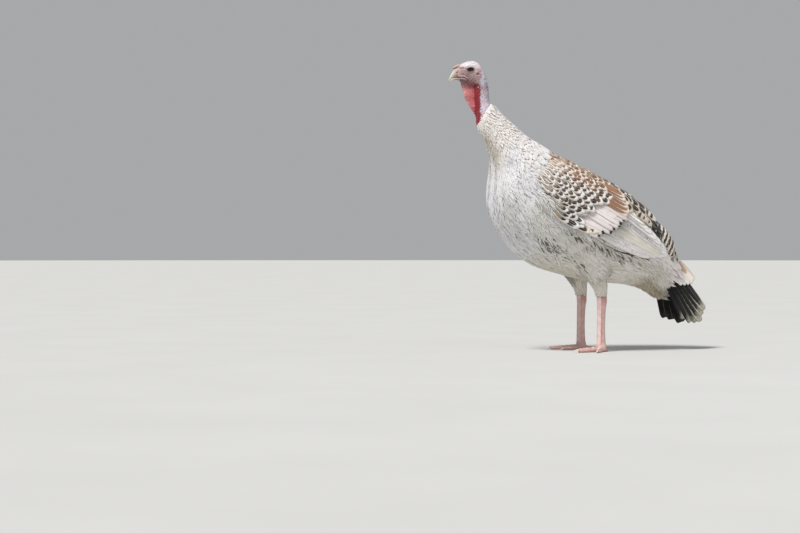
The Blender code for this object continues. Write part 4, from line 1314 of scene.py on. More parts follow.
    def build(self, plumage: Callable) -> Object:
        """Makes the whole skin and hides the solids of flesh behind it.

        Args:
            plumage: Gives the coat's colours at points.

        Returns:
            The skin.
        """
        upper = self.neck_and_head()
        self.sculpt(upper)
        skin = self.trunk()
        extra = [upper]
        angles = circle(36)
        for side in Side:
            leg = LegShape(side, BODY.shift)
            steps = np.linspace(0.0, len(leg.thigh) - 1.06, 20)
            extra.append(loft("thigh", [leg.point(t, angles, -2.5 * MM) for t in steps]))
        lobe = LobeShape(BODY.shift)
        extra.append(loft("lobe", [lobe.point(t, angles, -4.0 * MM) for t in np.linspace(0.03, 0.97, 20)]))
        combine(skin, extra, "UNION")
        combine(skin, self.eye_cutters(), "DIFFERENCE")
        shade_smooth(skin.data)
        nodes = ("head", "neck_upper", "neck_lower", "torso", "thigh_left", "thigh_right", "wattle")
        colour, grain = self.tint(positions(skin.data), plumage)
        finish_flesh(skin, self.material, colour, grain, nodes)
        return skin


@dataclass
class Face:
    """The hard and wet parts of the head: both eyes, the bill's halves and the snood."""

    skin: Skin
    horn: Material
    wet: Material
    flesh: Material
    pupil: float = 2.5 * MM
    iris: float = 5.6 * MM
    nostril: tuple = (0.0572, 0.6548, 0.0024, 0.0013)
    snood: tuple = (0.0572, 0.6688, 0.0122, 0.0043, 0.0052)
    snood_slope: float = math.radians(-17.0)

    def eyes(self) -> None:
        """A finer ball in each socket, with its pupil and iris."""
        forward, left, up = HEAD.axes()
        for name, side in (("eye_left", Side.LEFT), ("eye_right", Side.RIGHT)):
            centre = self.skin.eye_place(side)
            halves = (self.skin.eye_depth, self.skin.eye_radius, self.skin.eye_radius)
            eye = ball(name + "_glass", centre, (left, forward, up), halves, 48, 48)
            offset = positions(eye.data) - centre
            spread = np.linalg.norm(offset - (offset @ left)[:, None] * left, axis=1)
            colour = blend("#030202", "#1f120c", smoothstep((spread - self.pupil) / (0.5 * MM)))
            colour = blend(colour, "#0b0706", smoothstep((spread - self.iris) / (0.8 * MM)))
            paint(eye.data, "tint", colour)
            finish_piece(eye, self.wet, (name,))

    def bill(self) -> None:
        """The two halves of the bill, pinkish at the base and pale at the tip."""
        forward, left, up = HEAD.axes()
        upper = loft("bill_upper_horn", HEAD.rings(HEAD.upper_bill, 44, 48, 2.0))
        ahead, height, long, high = self.nostril
        slope = math.radians(-24.0)
        along = forward * math.cos(slope) + up * math.sin(slope)
        slits = []
        for side in Side:
            centre = HEAD.point(ahead, side.value * 0.0088, height)
            axes = (left, along, np.cross(left, along))
            slits.append(ball("slit", centre, axes, (0.003, long * 1.3, high), 12, 20))
        combine(upper, slits, "DIFFERENCE")
        lower = loft("bill_lower_horn", HEAD.rings(HEAD.lower_bill, 36, 40, 2.0))
        for half, node in ((upper, "bill_upper"), (lower, "bill_lower")):
            co = positions(half.data)
            ahead_at, _, height_at = HEAD.own(co)
            tip = ramp(ahead_at, 0.056, 0.018)
            colour = blend("#b39a96", "#dcd9c6", tip)
            # The lower parts are darker: partly brownish horn, partly painted shade under the upper half.
            colour = blend(colour, "#7b5f56", 0.5 * ramp(height_at, 0.6445, -0.002) * (1 - tip))
            # Painted shade along the mouth line, where the halves meet.
            edge = np.exp(-((height_at - 0.6425) / 0.0009) ** 2) * ramp(ahead_at, 0.07, -0.01)
            colour = blend(colour, "#4c3631", 0.55 * edge)
            paint(half.data, "tint", colour)
            shade_smooth(half.data)
            finish_piece(half, self.horn, (node,))

    def snood_piece(self) -> None:
        """The snood: a short wrinkled finger of flesh that lies over the bill's base."""
        forward, left, up = HEAD.axes()
        ahead, height, long, high, wide = self.snood
        centre = HEAD.point(ahead, 0.0, height)
        along = forward * math.cos(self.snood_slope) + up * math.sin(self.snood_slope)
        over = np.cross(along, left)
        thing = ball("snood_flesh", centre, (along, left, over), (long, wide, high), 44, 36)
        co = positions(thing.data)
        run = (co - centre) @ along
        out = unit(co - centre)
        wrinkle = np.sin(run / (2.3 * MM) * math.tau) * 0.12 * MM + lumps(co, 1.8 * MM, 2.0) * 0.35 * MM
        co += out * wrinkle[:, None]
        co -= over * (ramp(run, 0.004, 0.006) * 0.8 * MM)[:, None]
        move_points(thing.data, co)
        share = ramp(run / long, -1.0, 2.0)
        colour = blend("#b79a9b", "#c4abab", share)
        # Painted shade, red-brown, on the snood's underside.
        low = smoothstep(-((co - centre) @ over) / (0.6 * high) + 0.1)
        colour = blend(colour, "#85504f", 0.75 * low)
        finish_flesh(thing, self.flesh, colour, 0.7, ("snood",))

    def build(self) -> None:
        """Makes every piece of the face."""
        self.eyes()
        self.bill()
        self.snood_piece()


@dataclass
class BodyCoat:
    """The small feathers of the neck, breast, belly and back, in rows laid from tail to neck."""

    material: Material
    rng: np.random.Generator
    depth: Skin
    places: tuple = (0.0, 4.0, 5.0, 6.0, 7.0, 8.0, 9.12)  # ring numbers at which the sizes below hold
    length: tuple = (0.04, 0.04, 0.036, 0.029, 0.022, 0.0165, 0.0115)
    half: tuple = (0.012, 0.012, 0.0106, 0.008, 0.0058, 0.0044, 0.0029)
    step: tuple = (0.01, 0.01, 0.0088, 0.0068, 0.0051, 0.004, 0.0027)
    ruff: tuple = (0.0008, 0.0007, 0.0007, 0.0009, 0.0012, 0.0016, 0.0022)
    first: float = -0.1
    last: float = 9.12
    ragged: float = 0.9  # how far the barbs' ends stray, in millimetres

    def sizes(self, values: tuple, t: Array) -> Array:
        """One of the size fields, read at ring numbers."""
        return np.interp(t, self.places, values)

    def roots(self, finer: float) -> tuple[Array, Array]:
        """Where the feathers grow, in staggered rows.

        Args:
            finer: Scales the distances between them.

        Returns:
            Their ring numbers and angles.
        """
        angles = np.linspace(0.0, math.tau, 241)
        t = self.last
        ts = []
        places = []
        odd = 0
        while t > self.first:
            ring = BODY.point(t, angles, 0.0)
            run = np.concatenate([[0.0], np.cumsum(np.linalg.norm(np.diff(ring, axis=0), axis=1))])
            count = max(int(run[-1] / (self.sizes(self.half, t) * 1.15 * finer)), 12)
            slots = (np.arange(count) + 0.5 * odd + self.rng.uniform(-0.3, 0.3, count)) % count
            places.append(np.interp(slots / count * run[-1], run, angles))
            speed = BODY.pace(t, angles).mean() / (2 * PACE)
            gap = self.sizes(self.step, t) * finer / speed
            ts.append(t + self.rng.uniform(-0.35, 0.35, count) * gap)
            t -= gap
            odd = 1 - odd
        t = np.concatenate(ts)
        angle = np.concatenate(places)
        rise = rise_of(angle)
        hidden = (t > 1.95) & (t < 4.0) & (rise > 6.0) & (rise < 28.0) | (t < 1.34) & (rise > 24.0)
        return t[~hidden], angle[~hidden]

    @staticmethod
    def colours(t: Array, angle: Array, chance: Array) -> Dress:
        """The plumage's pattern over the body.

        Args:
            t: Ring number of each feather's tip.
            angle: Its angle.
            chance: Six rows of numbers from 0 to 1 that vary the feathers.

        Returns:
            Their colours and marks.
        """
        count = len(t)
        rise = rise_of(angle) + (chance[1] - 0.5) * 9
        t = t + (chance[0] - 0.5) * 0.25
        ground = blend("#f3f0f0", "#ded8d4", chance[2])
        border = blend("#f8f6f6", "#ebe6e3", chance[3])
        width = np.full(count, 0.1)
        flecks = np.zeros(count)
        band = np.zeros(count)

        neck = ramp(t, 6.2, 1.4)
        ground = blend(ground, blend("#f4eee9", "#dfd0c2", chance[3] ** 3), 0.9 * neck)
        flecks += neck * 0.2 * (chance[4] > 0.7)
        tipped = neck * (chance[5] < 0.09) > 0.4
        # Painted shade, olive-tan, low on the neck's front.
        throat_shade = spot(t, rise, (7.6, -62.0), (0.8, 26.0))
        ground = blend(ground, "#b5a88f", np.clip(0.8 * throat_shade * (0.4 + chance[4]), 0.0, 1.0))

        mantle = ramp(t, 4.4, 0.4) * ramp(t, 7.1, -0.9) * ramp(rise, 2.0, 22.0)
        dotted = chance[5] < mantle * 0.32

        cloud = lumps(BODY.point(t, angle), 26 * MM, 4.0) + 0.5 * lumps(BODY.point(t, angle), 11 * MM, 6.0)
        breast = ramp(t, 3.2, 0.9) * ramp(t, 7.6, -1.0) * ramp(rise, 16.0, -16.0)
        ground = blend(ground, "#e4e4e9", 0.5 * breast)
        ground = blend(ground, "#a9abb3", np.clip(0.9 * cloud - 0.05, 0.0, 0.8) * breast)
        flecks += breast * (0.08 + 0.35 * (chance[4] > 0.7))
        slate = (chance[5] > 0.92) & (breast > 0.4)
        for chosen, tip, paler, depth in ((tipped, "#c6b09a", "#8d7763", 0.14),
                                          (dotted, "#4c4441", "#86776c", 0.13),
                                          (slate, "#7c7f89", "#a9aab0", 0.1)):
            border[chosen] = blend(tip, paler, chance[2])[chosen]
            band[chosen] = depth
            width[chosen] = 0.0
        # Painted shade, grey, low on the breast's side.
        shade = spot(t, rise, (5.3, -50.0), (1.1, 16.0)) * (0.25 + 0.75 * chance[3])
        ground = blend(ground, "#b3b1aa", np.clip(0.75 * shade, 0.0, 1.0))
        # Painted shade in the furrow down the breast's middle.
        furrow_shade = spot(t, rise, (6.6, -74.0), (1.5, 7.0))
        ground = blend(ground, "#9c9aa0", np.clip(0.7 * furrow_shade, 0.0, 1.0))

        belly = ramp(t, 4.6, -1.2) * ramp(rise, -10.0, -18.0)
        ground = blend(ground, "#ddd9ca", 0.7 * belly)
        # Painted shade, olive, on the belly's underside.
        belly_underside_shade = belly * ramp(rise, -48.0, -25.0)
        ground = blend(ground, "#b4af98", 0.6 * belly_underside_shade)
        vent = ramp(t, 1.5, -1.0) * ramp(rise, -12.0, -20.0)
        ground = blend(ground, blend("#cdc2ac", "#968b73", chance[4]), 0.8 * vent)

        blotch = spot(t, rise, (3.85, -38.0), (0.5, 8.0))
        ground = blend(ground, "#85817d", np.clip(1 * blotch * chance[4], 0.0, 1.0))
        flecks += 0.4 * blotch
        brown = spot(t, rise, (2.95, -45.0), (0.34, 5.0))
        ground = blend(ground, "#75604e", np.clip(1.2 * brown * chance[2], 0.0, 1.0))
        flecks += 0.5 * brown

        rust = ramp(t, 4.9, -0.35) * ramp(rise, 38.0, 8.0)
        warm = blend("#a5714d", "#3f2c21", chance[2] ** 0.8 * ramp(t, 4.9, -0.7))
        ground = blend(ground, warm, rust)
        border = blend(border, "#eee2d4", rust)
        width = width * (1 - rust) + 0.3 * rust
        flecks *= 1 - rust
        band *= 1 - rust

        dark = ramp(t, 3.7, -0.8) * smoothstep((rise - 30 + 20 * ramp(t, 2.4, -0.8)) / 12)
        black = blend("#2a201a", "#100d0c", ramp(t, 2.8, -1.2))
        ground = blend(ground, black, dark)
        border = blend(border, blend("#d9c9b4", "#b9b0a6", ramp(t, 2.4, -1.0)), dark)
        width = width * (1 - dark) + dark * (0.22 - 0.08 * ramp(t, 2.2, -1.0))

        pale = ramp(t, 0.95, -0.3) * ramp(rise, 26.0, -6.0) * ramp(rise, -26.0, 14.0)
        ground = blend(ground, "#efe7e2", pale)
        border = blend(border, "#f6f1ee", pale)
        marks = np.stack([width, np.zeros(count), np.clip(flecks, 0.0, 1.0), band], 1)
        return Dress(ground, border, marks)

    def lifts(self, t: Array, angle: Array) -> Array:
        """How far each feather's root, middle and tip stand off the coat's mean surface."""
        rise = rise_of(angle)
        stray = self.rng.uniform(-0.35, 1.35, len(t)) + (self.rng.random(len(t)) > 0.93) * 1.3
        nape = ramp(rise, 10.0, 40.0) * ramp(t, 6.4, 1.2)
        ruff = self.sizes(self.ruff, t) * stray * (0.65 + 0.2 * nape)
        deep = -self.depth.depth(np.minimum(t, 9.0))
        furrow = spot(t, rise, (6.6, -74.0), (1.3, 6.0)) * 3.2 * MM
        wing = wing_bulge(t, rise) * OVER_WING
        lifts = np.stack([deep * 0.9 - 0.3 * MM, deep * 0.22 + ruff * 0.3, ruff], 1)
        return lifts + (wing - furrow)[:, None]

    def region(self, name: str, inside: Callable, outline: Outline, finer: float) -> None:
        """Lays the feathers of one region and makes them one piece.

        Args:
            name: The piece's name.
            inside: Tells from ring numbers and angles which feathers belong to it.
            outline: The feathers' outline.
            finer: Scales their width and distances.
        """
        t, angle = self.roots(finer)
        pick = inside(t, np.sin(angle))
        t = t[pick]
        angle = angle[pick]
        count = len(t)
        speed = BODY.pace(t, angle) / (2 * PACE)
        end = t - self.sizes(self.length, t) * self.rng.uniform(0.84, 1.16, count) / speed
        drift = self.rng.normal(0.0, 0.05 / finer, count)
        half = self.sizes(self.half, t) * self.rng.uniform(0.85, 1.12, count) * finer
        lifts = self.lifts(t, angle)
        dress = self.colours((t + 2 * end) / 3, angle, self.rng.random((6, count)))
        root = np.stack([(angle / math.tau) % 1.0, 0.04 + t / 10], 1)
        vanes = Vanes(name, self.rng)
        vanes.cover(BODY, (t, end), (angle, angle + drift), lifts, half, outline, dress, root, 0.16,
                    self.ragged * MM)
        vanes.build(self.material, "pale_feathers")

    def under(self, points: Array) -> Array:
        """The coat's own colours at points of the skin under it.

        Args:
            points: Places on the skin.

        Returns:
            A colour for each.
        """
        t, angle = np.meshgrid(np.linspace(0.0, 9.1, 92), np.linspace(0.0, math.tau, 97)[:-1], indexing="ij")
        t = t.ravel()
        angle = angle.ravel()
        tree = KDTree(len(t))
        for i, place in enumerate(BODY.point(t, angle)):
            tree.insert(place, i)
        tree.balance()
        colour = self.colours(t, angle, np.full((6, len(t)), 0.5)).ground
        rise = rise_of(angle)
        wing = smoothstep(wing_bulge(t, rise) / (4 * MM))
        scalloped = blend("#5b4638", "#ded3cc", ramp(t, 3.3, -0.5))
        colour = blend(colour, scalloped, wing)
        # The skin is a tenth darker than the coat over it, as painted shade under the feathers.
        return colour[[tree.find(p)[1] for p in points]] * 0.9

    def build(self) -> None:
        """Makes the coat's pieces, each a region of the body."""
        self.region("coat_neck", lambda t, side: t > 6.9, Outline.PLUME, 0.86)
        self.region("coat_breast", lambda t, side: (t <= 6.9) & (t > 3.6) & (side < 0.3), Outline.PLUME, 0.6)
        self.region("coat_belly", lambda t, side: (t <= 3.6) & (side < 0.1), Outline.PLUME, 0.66)
        self.region("coat_back", lambda t, side: (t <= 6.9) & (side >= np.where(t > 3.6, 0.3, 0.1)),
                    Outline.LANCE, 0.9)


@dataclass(frozen=True)
class Tier:
    """A row of the wing's feathers, laid from low to high.

    The tips are ring numbers and degrees, read evenly from low to high. The roots stand that
    far in front of and above the tips. The lifts are over the body at root, middle and tip.
    """

    count: int
    tips: tuple
    angles: tuple
    run: tuple
    fan: tuple
    lifts: tuple
    half: float
    outline: Outline
    roll: float = 8.0

    def read(self, values: tuple) -> Array:
        """One of the fields, spread evenly over the row's feathers."""
        return np.interp(np.linspace(0.0, 1.0, self.count), np.linspace(0.0, 1.0, len(values)), values)


@dataclass
class Wing:
    """One folded wing: primaries, secondaries, coverts in their rows, and the thumb's feathers."""

    side: Side
    covert: Material
    flight: Material
    rng: np.random.Generator
    scallop_rows: int = 10
    scallop_count: int = 12  # in a row
    primaries: Tier = Tier(7, (1.75, 1.55, 1.35, 1.15, 0.95), (-12.0, -10.5, -8.0, -4.5, -1.0), (1.2, 1.8),
                           (2.0, 3.0), (0.004, 0.008, 0.0115), 0.0074, Outline.BROAD, 6.0)
    secondaries: Tier = Tier(14, (1.25, 0.92, 0.64, 0.6, 0.78, 1.08, 1.36, 1.62, 1.88),
                             (-7.0, -1.0, 4.5, 8.0, 11.0, 15.0, 19.5, 24.0, 28.5), (1.8, 1.5), (2.0, 14.0),
                             (0.0055, 0.0098, 0.013), 0.011, Outline.BROAD, 7.0)
    greater: Tier = Tier(14, (2.86, 2.6, 2.44, 2.35, 2.3, 2.3, 2.4, 2.52),
                         (-7.0, -1.0, 6.0, 13.0, 20.0, 28.0, 36.0, 43.0), (0.95, 1.15), (3.0, 7.0),
                         (0.008, 0.0136, 0.016), 0.0112, Outline.BROAD, 5.0)
    primary_coverts: Tier = Tier(4, (3.16, 3.06, 2.98, 2.95), (-8.5, -7.5, -6.0, -4.5), (0.7, 0.7),
                                 (3.0, 3.0), (0.006, 0.0125, 0.0172), 0.0078, Outline.BROAD)
    thumb: Tier = Tier(4, (3.56, 3.48, 3.42, 3.36), (-8.0, -6.5, -5.0, -3.0), (0.62, 0.62), (3.0, 3.0),
                       (0.007, 0.013, 0.0182), 0.0074, Outline.BROAD)

    def lay(self, vanes: Vanes, tier: Tier, dress: Dress) -> None:
        """Lays one tier.

        Args:
            vanes: What gathers the feathers.
            tier: The row's sizes and places.
            dress: Its colours and marks.
        """
        tips = tier.read(tier.tips) + self.rng.uniform(-0.04, 0.04, tier.count)
        root = tips + tier.read(tier.run)
        end = np.radians(tier.read(tier.angles) + self.rng.uniform(-0.7, 0.7, tier.count))
        start = end + np.radians(tier.read(tier.fan))
        lifts = np.tile(tier.lifts, (tier.count, 1)) + self.rng.uniform(0.0, 0.0004, (tier.count, 1))
        half = tier.half * self.rng.uniform(0.92, 1.08, tier.count)
        place = np.stack([np.linspace(0.02, 0.92, tier.count), root / 10], 1)
        vanes.cover(BODY, (root, tips), (start, end), lifts, half, tier.outline, dress, place, 0.08, 1 * MM,
                    self.side.value, math.radians(tier.roll))

    def even(self, count: int, ground: Array, border: Array, marks: tuple) -> Dress:
        """A dress with the same marks all along a tier, and slightly varied colours."""
        vary = self.rng.uniform(0.88, 1.08, (count, 1))
        ground = np.broadcast_to(ground, (count, 3)) * vary
        return Dress(ground, np.broadcast_to(border, (count, 3)).copy(),
                     np.tile(marks, (count, 1)).astype(float))

    def long_feathers(self) -> None:
        """The primaries, the secondaries, and the greater coverts over them."""
        vanes = Vanes("wing_flights_" + self.side.label, self.rng, 7)
        tier = self.primaries
        dress = self.even(tier.count, tone("#d9d6d0"), tone("#2c2a2b"), (0.1, 0.0, 0.9, 0.0))
        dress.marks[::2, 0] = 0.14
        self.lay(vanes, tier, dress)
        tier = self.secondaries
        share = np.linspace(0.0, 1.0, tier.count)
        ground = blend("#f4f0ee", "#c4bb86", 0.45 * np.exp(-((share - 0.2) / 0.07) ** 2))
        dress = self.even(tier.count, ground, tone("#f6f2ee"), (0.1, 0.0, 0.05, 0.0))
        dress.marks[:, 2] = 0.06 + 0.9 * (np.abs(share - 0.5) < 0.09) + 0.35 * (share < 0.14)
        self.lay(vanes, tier, dress)
        tier = self.greater
        angle = tier.read(tier.angles)
        rust = ramp(angle, 17.0, 6.0)
        ground = blend("#f3e9e6", "#9c6f52", rust)
        border = blend("#2e2622", "#efdfce", ramp(angle, 15.0, 4.0))
        dress = self.even(tier.count, ground, border, (0.0, 0.0, 0.0, 0.0))
        dress.marks[:, 0] = 0.17 * rust
        dress.marks[:, 2] = 0.04 + 0.1 * rust
        dress.marks[:, 3] = (0.13 - 0.04 * self.rng.random(tier.count)) * (angle < 16.0)
        self.lay(vanes, tier, dress)
        vanes.build(self.flight, "wing_feathers", ("wing_" + self.side.label,))

    def front_feathers(self) -> None:
        """The thumb's feathers, and the primary coverts beside them."""
        vanes = Vanes("wing_front_" + self.side.label, self.rng, 5)
        tier = self.primary_coverts
        self.lay(vanes, tier, self.even(tier.count, tone("#553c2d"), tone("#eee4d6"), (0.26, 0.0, 0.3, 0.0)))
        tier = self.thumb
        self.lay(vanes, tier, self.even(tier.count, tone("#242324"), tone("#ebe8e4"), (0.3, 0.0, 0.2, 0.0)))
        vanes.build(self.flight, "wing_feathers")

    def scallops(self) -> None:
        """The lesser and median coverts: dark hearts in pale crescents, smallest in front."""
        vanes = Vanes("wing_coverts_" + self.side.label, self.rng)
        count = self.scallop_count
        for row in range(self.scallop_rows):
            share = row / (self.scallop_rows - 1)
            place = (np.arange(count) + 0.5 * (row % 2) + self.rng.uniform(-0.15, 0.15, count)) / count
            low = np.interp(share, (0.0, 0.35, 0.6, 1.0), (-4.0, -1.0, 3.0, 9.0))
            angle = low + (50 - low) * place
            rear = np.interp(angle, (-4.0, 6.0, 19.0, 30.0, 41.0, 50.0), (3.8, 3.45, 3.15, 2.92, 2.8, 2.7))
            front = np.interp(angle, (-4.0, 4.0, 10.0, 28.0, 45.0), (4.2, 4.5, 4.75, 4.62, 4.3))
            end = rear + (front - rear) * share + self.rng.uniform(-0.05, 0.05, count)
            root = end + 0.5 - 0.18 * share
            top = wing_bulge(end, angle) + (5.4 - 3.2 * share + self.rng.uniform(-0.3, 0.6, count)) * MM
            lifts = np.stack([top - 5.4 * MM, top - 1.3 * MM, top], 1)
            start = np.radians(angle)
            turned = start + self.rng.normal(-0.02, 0.03, count)
            chance = self.rng.random((4, count))
            heart = blend("#2b2523", "#5d4130", chance[0] * ramp(angle, -4.0, 26.0))
            warm = ramp(angle, 24.0, 16.0) * ramp(share, -0.1, 0.5)
            heart = blend(heart, "#955f3f", 0.85 * warm * chance[1] ** 0.5)
            pale = ramp(share, 0.62, 0.38)
            heart = blend(heart, "#a59a93", pale * (0.1 + 0.6 * (chance[1] > 0.55)))
            rim = blend("#f5efe8", "#e9d8c5", warm * chance[2])
            width = 0.3 + 0.22 * pale + 0.1 * chance[2]
            marks = np.stack([width, np.zeros(count), np.full(count, 0.1 + 0.2 * pale), np.zeros(count)], 1)
            spots = np.stack([0.02 + 0.9 * place, root / 10], 1)
            half = (11.2 - 4.2 * share) * MM * self.rng.uniform(0.9, 1.1, count)
            vanes.cover(BODY, (root, end), (start, turned), lifts, half, Outline.ROUND,
                        Dress(heart, rim, marks), spots, 0.2, 0.7 * MM, self.side.value, math.radians(6.0))
        vanes.build(self.covert, "wing_feathers")

    def shoulder_cape(self) -> None:
        """The scapulars, which lie from the back over the wing's upper edge."""
        vanes = Vanes("wing_scapulars_" + self.side.label, self.rng)
        for row, root in enumerate(np.linspace(2.15, 4.4, 12)):
            share = (root - 2.15) / 2.25
            low = np.interp(root, (1.9, 2.6, 3.4, 4.4), (36.0, 37.0, 48.0, 52.0))
            count = 5 if low < 42.0 else 4
            start = np.linspace(76.0, low + 4, count) + self.rng.uniform(-2.5, 2.5, count) - 4 * (row % 2)
            end = start - self.rng.uniform(3.0, 9.0, count)
            place = root + self.rng.uniform(-0.08, 0.08, count)
            long = (0.68 - 0.34 * share) * self.rng.uniform(0.85, 1.15, count)
            lower = np.interp(end, (28.0, 44.0, 58.0, 72.0), (0.014, 0.0125, 0.007, 0.003))
            upper = np.interp(end, (28.0, 44.0, 58.0, 72.0), (0.016, 0.015, 0.01, 0.003))
            top = lower + (upper - lower) * ramp(share, 0.2, 0.3)
            top = top + self.rng.uniform(-0.4, 1.0, count) * MM
            lifts = np.stack([top * 0.45, top * 0.88, top], 1)
            chance = self.rng.random((3, count))
            heart = blend("#1b1512", "#49342a", chance[0] * share ** 0.4)
            heart = blend(heart, "#986a4a", 0.9 * ramp(share, 0.42, 0.3) * chance[1] ** 0.4)
            rim = blend("#d8c6ae", "#f0e6da", chance[1])
            bars = 0.8 * (chance[2] < 0.3) * (share < 0.45)
            marks = np.stack([0.18 + 0.14 * share + 0.08 * chance[0], bars, np.full(count, 0.05),
                              np.zeros(count)], 1)
            spots = np.stack([0.03 + start / 100, place / 10], 1)
            half = (12.5 - 4 * share) * MM * self.rng.uniform(0.85, 1.12, count)
            vanes.cover(BODY, (place, place - long), (np.radians(start), np.radians(end)), lifts, half,
                        Outline.BROAD, Dress(heart, rim, marks), spots, 0.17, 0.8 * MM, self.side.value)
        vanes.build(self.covert, "wing_feathers")

    def build(self) -> None:
        """Makes every row of the wing."""
        self.long_feathers()
        self.front_feathers()
        self.scallops()
        self.shoulder_cape()


@dataclass
class Tail:
    """The closed tail: a roof of long feathers, barred coverts over its root and fluff under it."""

    feather: Material
    soft: Material
    rng: np.random.Generator
    root: tuple = (0.158, 0.274)
    droop: float = math.radians(42.0)
    roof: float = math.radians(60.0)
    spread: float = math.radians(34.0)
    short: float = 0.154
    long: float = 0.232
    side_count: int = 8
    pale_count: int = 4
    step: float = 1.45 * MM
    half: float = 13.5 * MM
    sag: float = 0.006  # how far a feather's tip hangs below its straight line
    lobe_plumes: int = 900
    fan_plumes: int = 170  # on each side

    @property
    def start(self) -> Array:
        """The point that the fan opens from."""
        return np.array((0.0, self.root[0] + BODY.shift, self.root[1]))

    def axes(self, angle: float) -> tuple[Array, Array, Array]:
        """Direction, side and outward direction of a feather at a fan angle off the ridge."""
        centre = np.array((0.0, math.cos(self.droop), -math.sin(self.droop)))
        below = np.array((0.0, -math.sin(self.droop), -math.cos(self.droop)))
        sign = 1.0 if angle >= 0.0 else -1.0
        slope = np.array((sign * math.cos(self.roof), 0.0, 0.0)) + below * math.sin(self.roof)
        direction = unit(centre * math.cos(abs(angle)) + slope * math.sin(abs(angle)))
        across = unit(slope * math.cos(abs(angle)) - centre * math.sin(abs(angle)))
        return direction, across, unit(np.cross(across, direction)) * sign

    def level(self, angle: float) -> float:
        """How far the long feathers at a fan angle lie below the ridge's."""
        return -self.step * (abs(angle) / self.spread * self.side_count - 0.45)

    def lay(self, vanes: Vanes, angle: float, first: float, reach: float, rise: tuple, half: float,
            outline: Outline, dress: Dress, place: tuple, camber: float = 0.1) -> None:
        """Lays one feather of the fan.

        Args:
            vanes: What gathers the feathers.
            angle: Its fan angle off the ridge.
            first: Where its visible blade starts, from the tail's root.
            reach: How far its tip reaches.
            rise: How far its root and its tip stand off the fan.
            half: Its half width.
            outline: Its outline.
            dress: Its colours and marks.
            place: Its root on the unwrap.
            camber: Its arch, as a share of its half width.
        """
        direction, across, normal = self.axes(angle)
        shares = np.array([s for s, _ in outline.value])
        path = self.start + direction * (first + (reach - first) * shares)[:, None]
        path = path + normal * (rise[0] + (rise[1] - rise[0]) * shares)[:, None]
        path[:, 2] -= self.sag * shares ** 2
        steps = len(shares)
        sideways = np.tile(across, (1, steps, 1))
        vanes.lay(path[None], sideways, np.tile(normal, (1, steps, 1)), np.array([half]), outline, dress,
                  np.array([place]), camber, 0.6 * MM)

    def fan(self) -> None:
        """The long black feathers with pale edges and tips, under shorter pale ones."""
        vanes = Vanes("tail_fan", self.rng, 9, 0.7 * MM)
        for side in Side:
            over = 0.0007 if side is Side.LEFT else 0.0
            for k in range(2, self.side_count):
                angle = side.value * self.spread * (k + 0.45) / self.side_count
                reach = self.long - 0.0028 * (k - 4) ** 2 + self.rng.uniform(-0.004, 0.003)
                rim = (0.08, 0.06, 0.04, 0.01, 0.0, 0.0)[k - 2]
                # On the right, the far side of the roof, the pale tips are darkened as painted shade, more so
                # outwards.
                pale = blend("#b3ae9c", "#3f3c34", float(side is Side.RIGHT) * min(1.0, 0.35 * (k - 2)))
                band = 0.13 + self.rng.uniform(-0.03, 0.03)
                dress = Dress(tone("#0b0a0a")[None], pale[None], np.array(((rim, 0.0, 0.0, band),)))
                rise = over - self.step * (k + 1)
                place = (0.5 + side.value * (k + 0.5) * 0.045, 0.1)
                self.lay(vanes, angle, 0.05, reach, (rise, rise), self.half, Outline.SQUARE, dress, place)
            for k in range(self.pale_count):
                angle = side.value * self.spread * (k + 0.25) / self.side_count
                tan = k == 0
                ground = tone("#c0a084") if tan else tone("#f1e8e5") * self.rng.uniform(0.95, 1.02)
                border = tone("#f1e6da") if tan else tone("#f7f1ee")
                marks = np.array(((0.34 if tan else 0.1, 0.0, 0.05, 0.0),))
                dress = Dress(ground[None], border[None], marks)
                rise = over + self.step * (1.2 - 0.8 * k)
                place = (0.5 + side.value * (k + 0.5) * 0.045, 0.18)
                self.lay(vanes, angle, 0.02, self.short - 0.006 * k, (rise, rise), self.half * 1.1,
                         Outline.SQUARE, dress, place)
        vanes.build(self.feather, "tail_feathers", ("tail",))

    def bridge(self, vanes: Vanes, side: Side, start: tuple, finish: tuple, half: float, dress: Dress,
               place: tuple) -> None:
        """Lays a covert that leaves the rump's surface and ends along the fan.

        Args:
            vanes: What gathers the feathers.
            side: The bird's left or right.
            start: Its root's ring number, degrees and lift on the body.
            finish: Its tip's fan angle in degrees, reach and height over the fan.
            half: Its half width.
            dress: Its colours and marks.
            place: Its root on the unwrap.
        """
        outline = Outline.BROAD
        s = np.array([share for share, _ in outline.value])[:, None]
        t, angle, lift = start[0], math.radians(start[1]), start[2]
        root = BODY.point(t, angle, lift)
        run = unit(BODY.point(t - 0.05, angle, lift) - root)
        around = unit(BODY.point(t, angle - 0.02, lift) - BODY.point(t, angle + 0.02, lift))
        direction, across, normal = self.axes(math.radians(finish[0]))
        tip = self.start + direction * finish[1] + normal * finish[2]
        reach = np.linalg.norm(tip - root)
        path = (root * (1 - s) ** 2 * (1 + 2 * s) + run * reach * s * (1 - s) ** 2
                + tip * s ** 2 * (3 - 2 * s) - direction * reach * s ** 2 * (1 - s))
        along = unit(np.gradient(path, axis=0))
        sideways = around * (1 - s) + across * s
        up = unit(np.cross(sideways, along))
        sideways = np.cross(along, up)
        for grid in (path, sideways, up):
            grid[:, 0] *= side.value
        vanes.lay(path[None], sideways[None], up[None], np.array([half]), outline, dress, np.array([place]),
                  0.16, 0.8 * MM, np.array([finish[1]]))

    def barred(self, count: int) -> Dress:
        """Dresses feathers with wide dark and pale bars."""
        ground = tone("#15110e") * self.rng.uniform(0.8, 1.5, (count, 1))
        border = tone("#e9dccb") * self.rng.uniform(0.92, 1.02, (count, 1))
        return Dress(ground, border, np.tile((0.06, 0.97, 0.0, 0.0), (count, 1)))

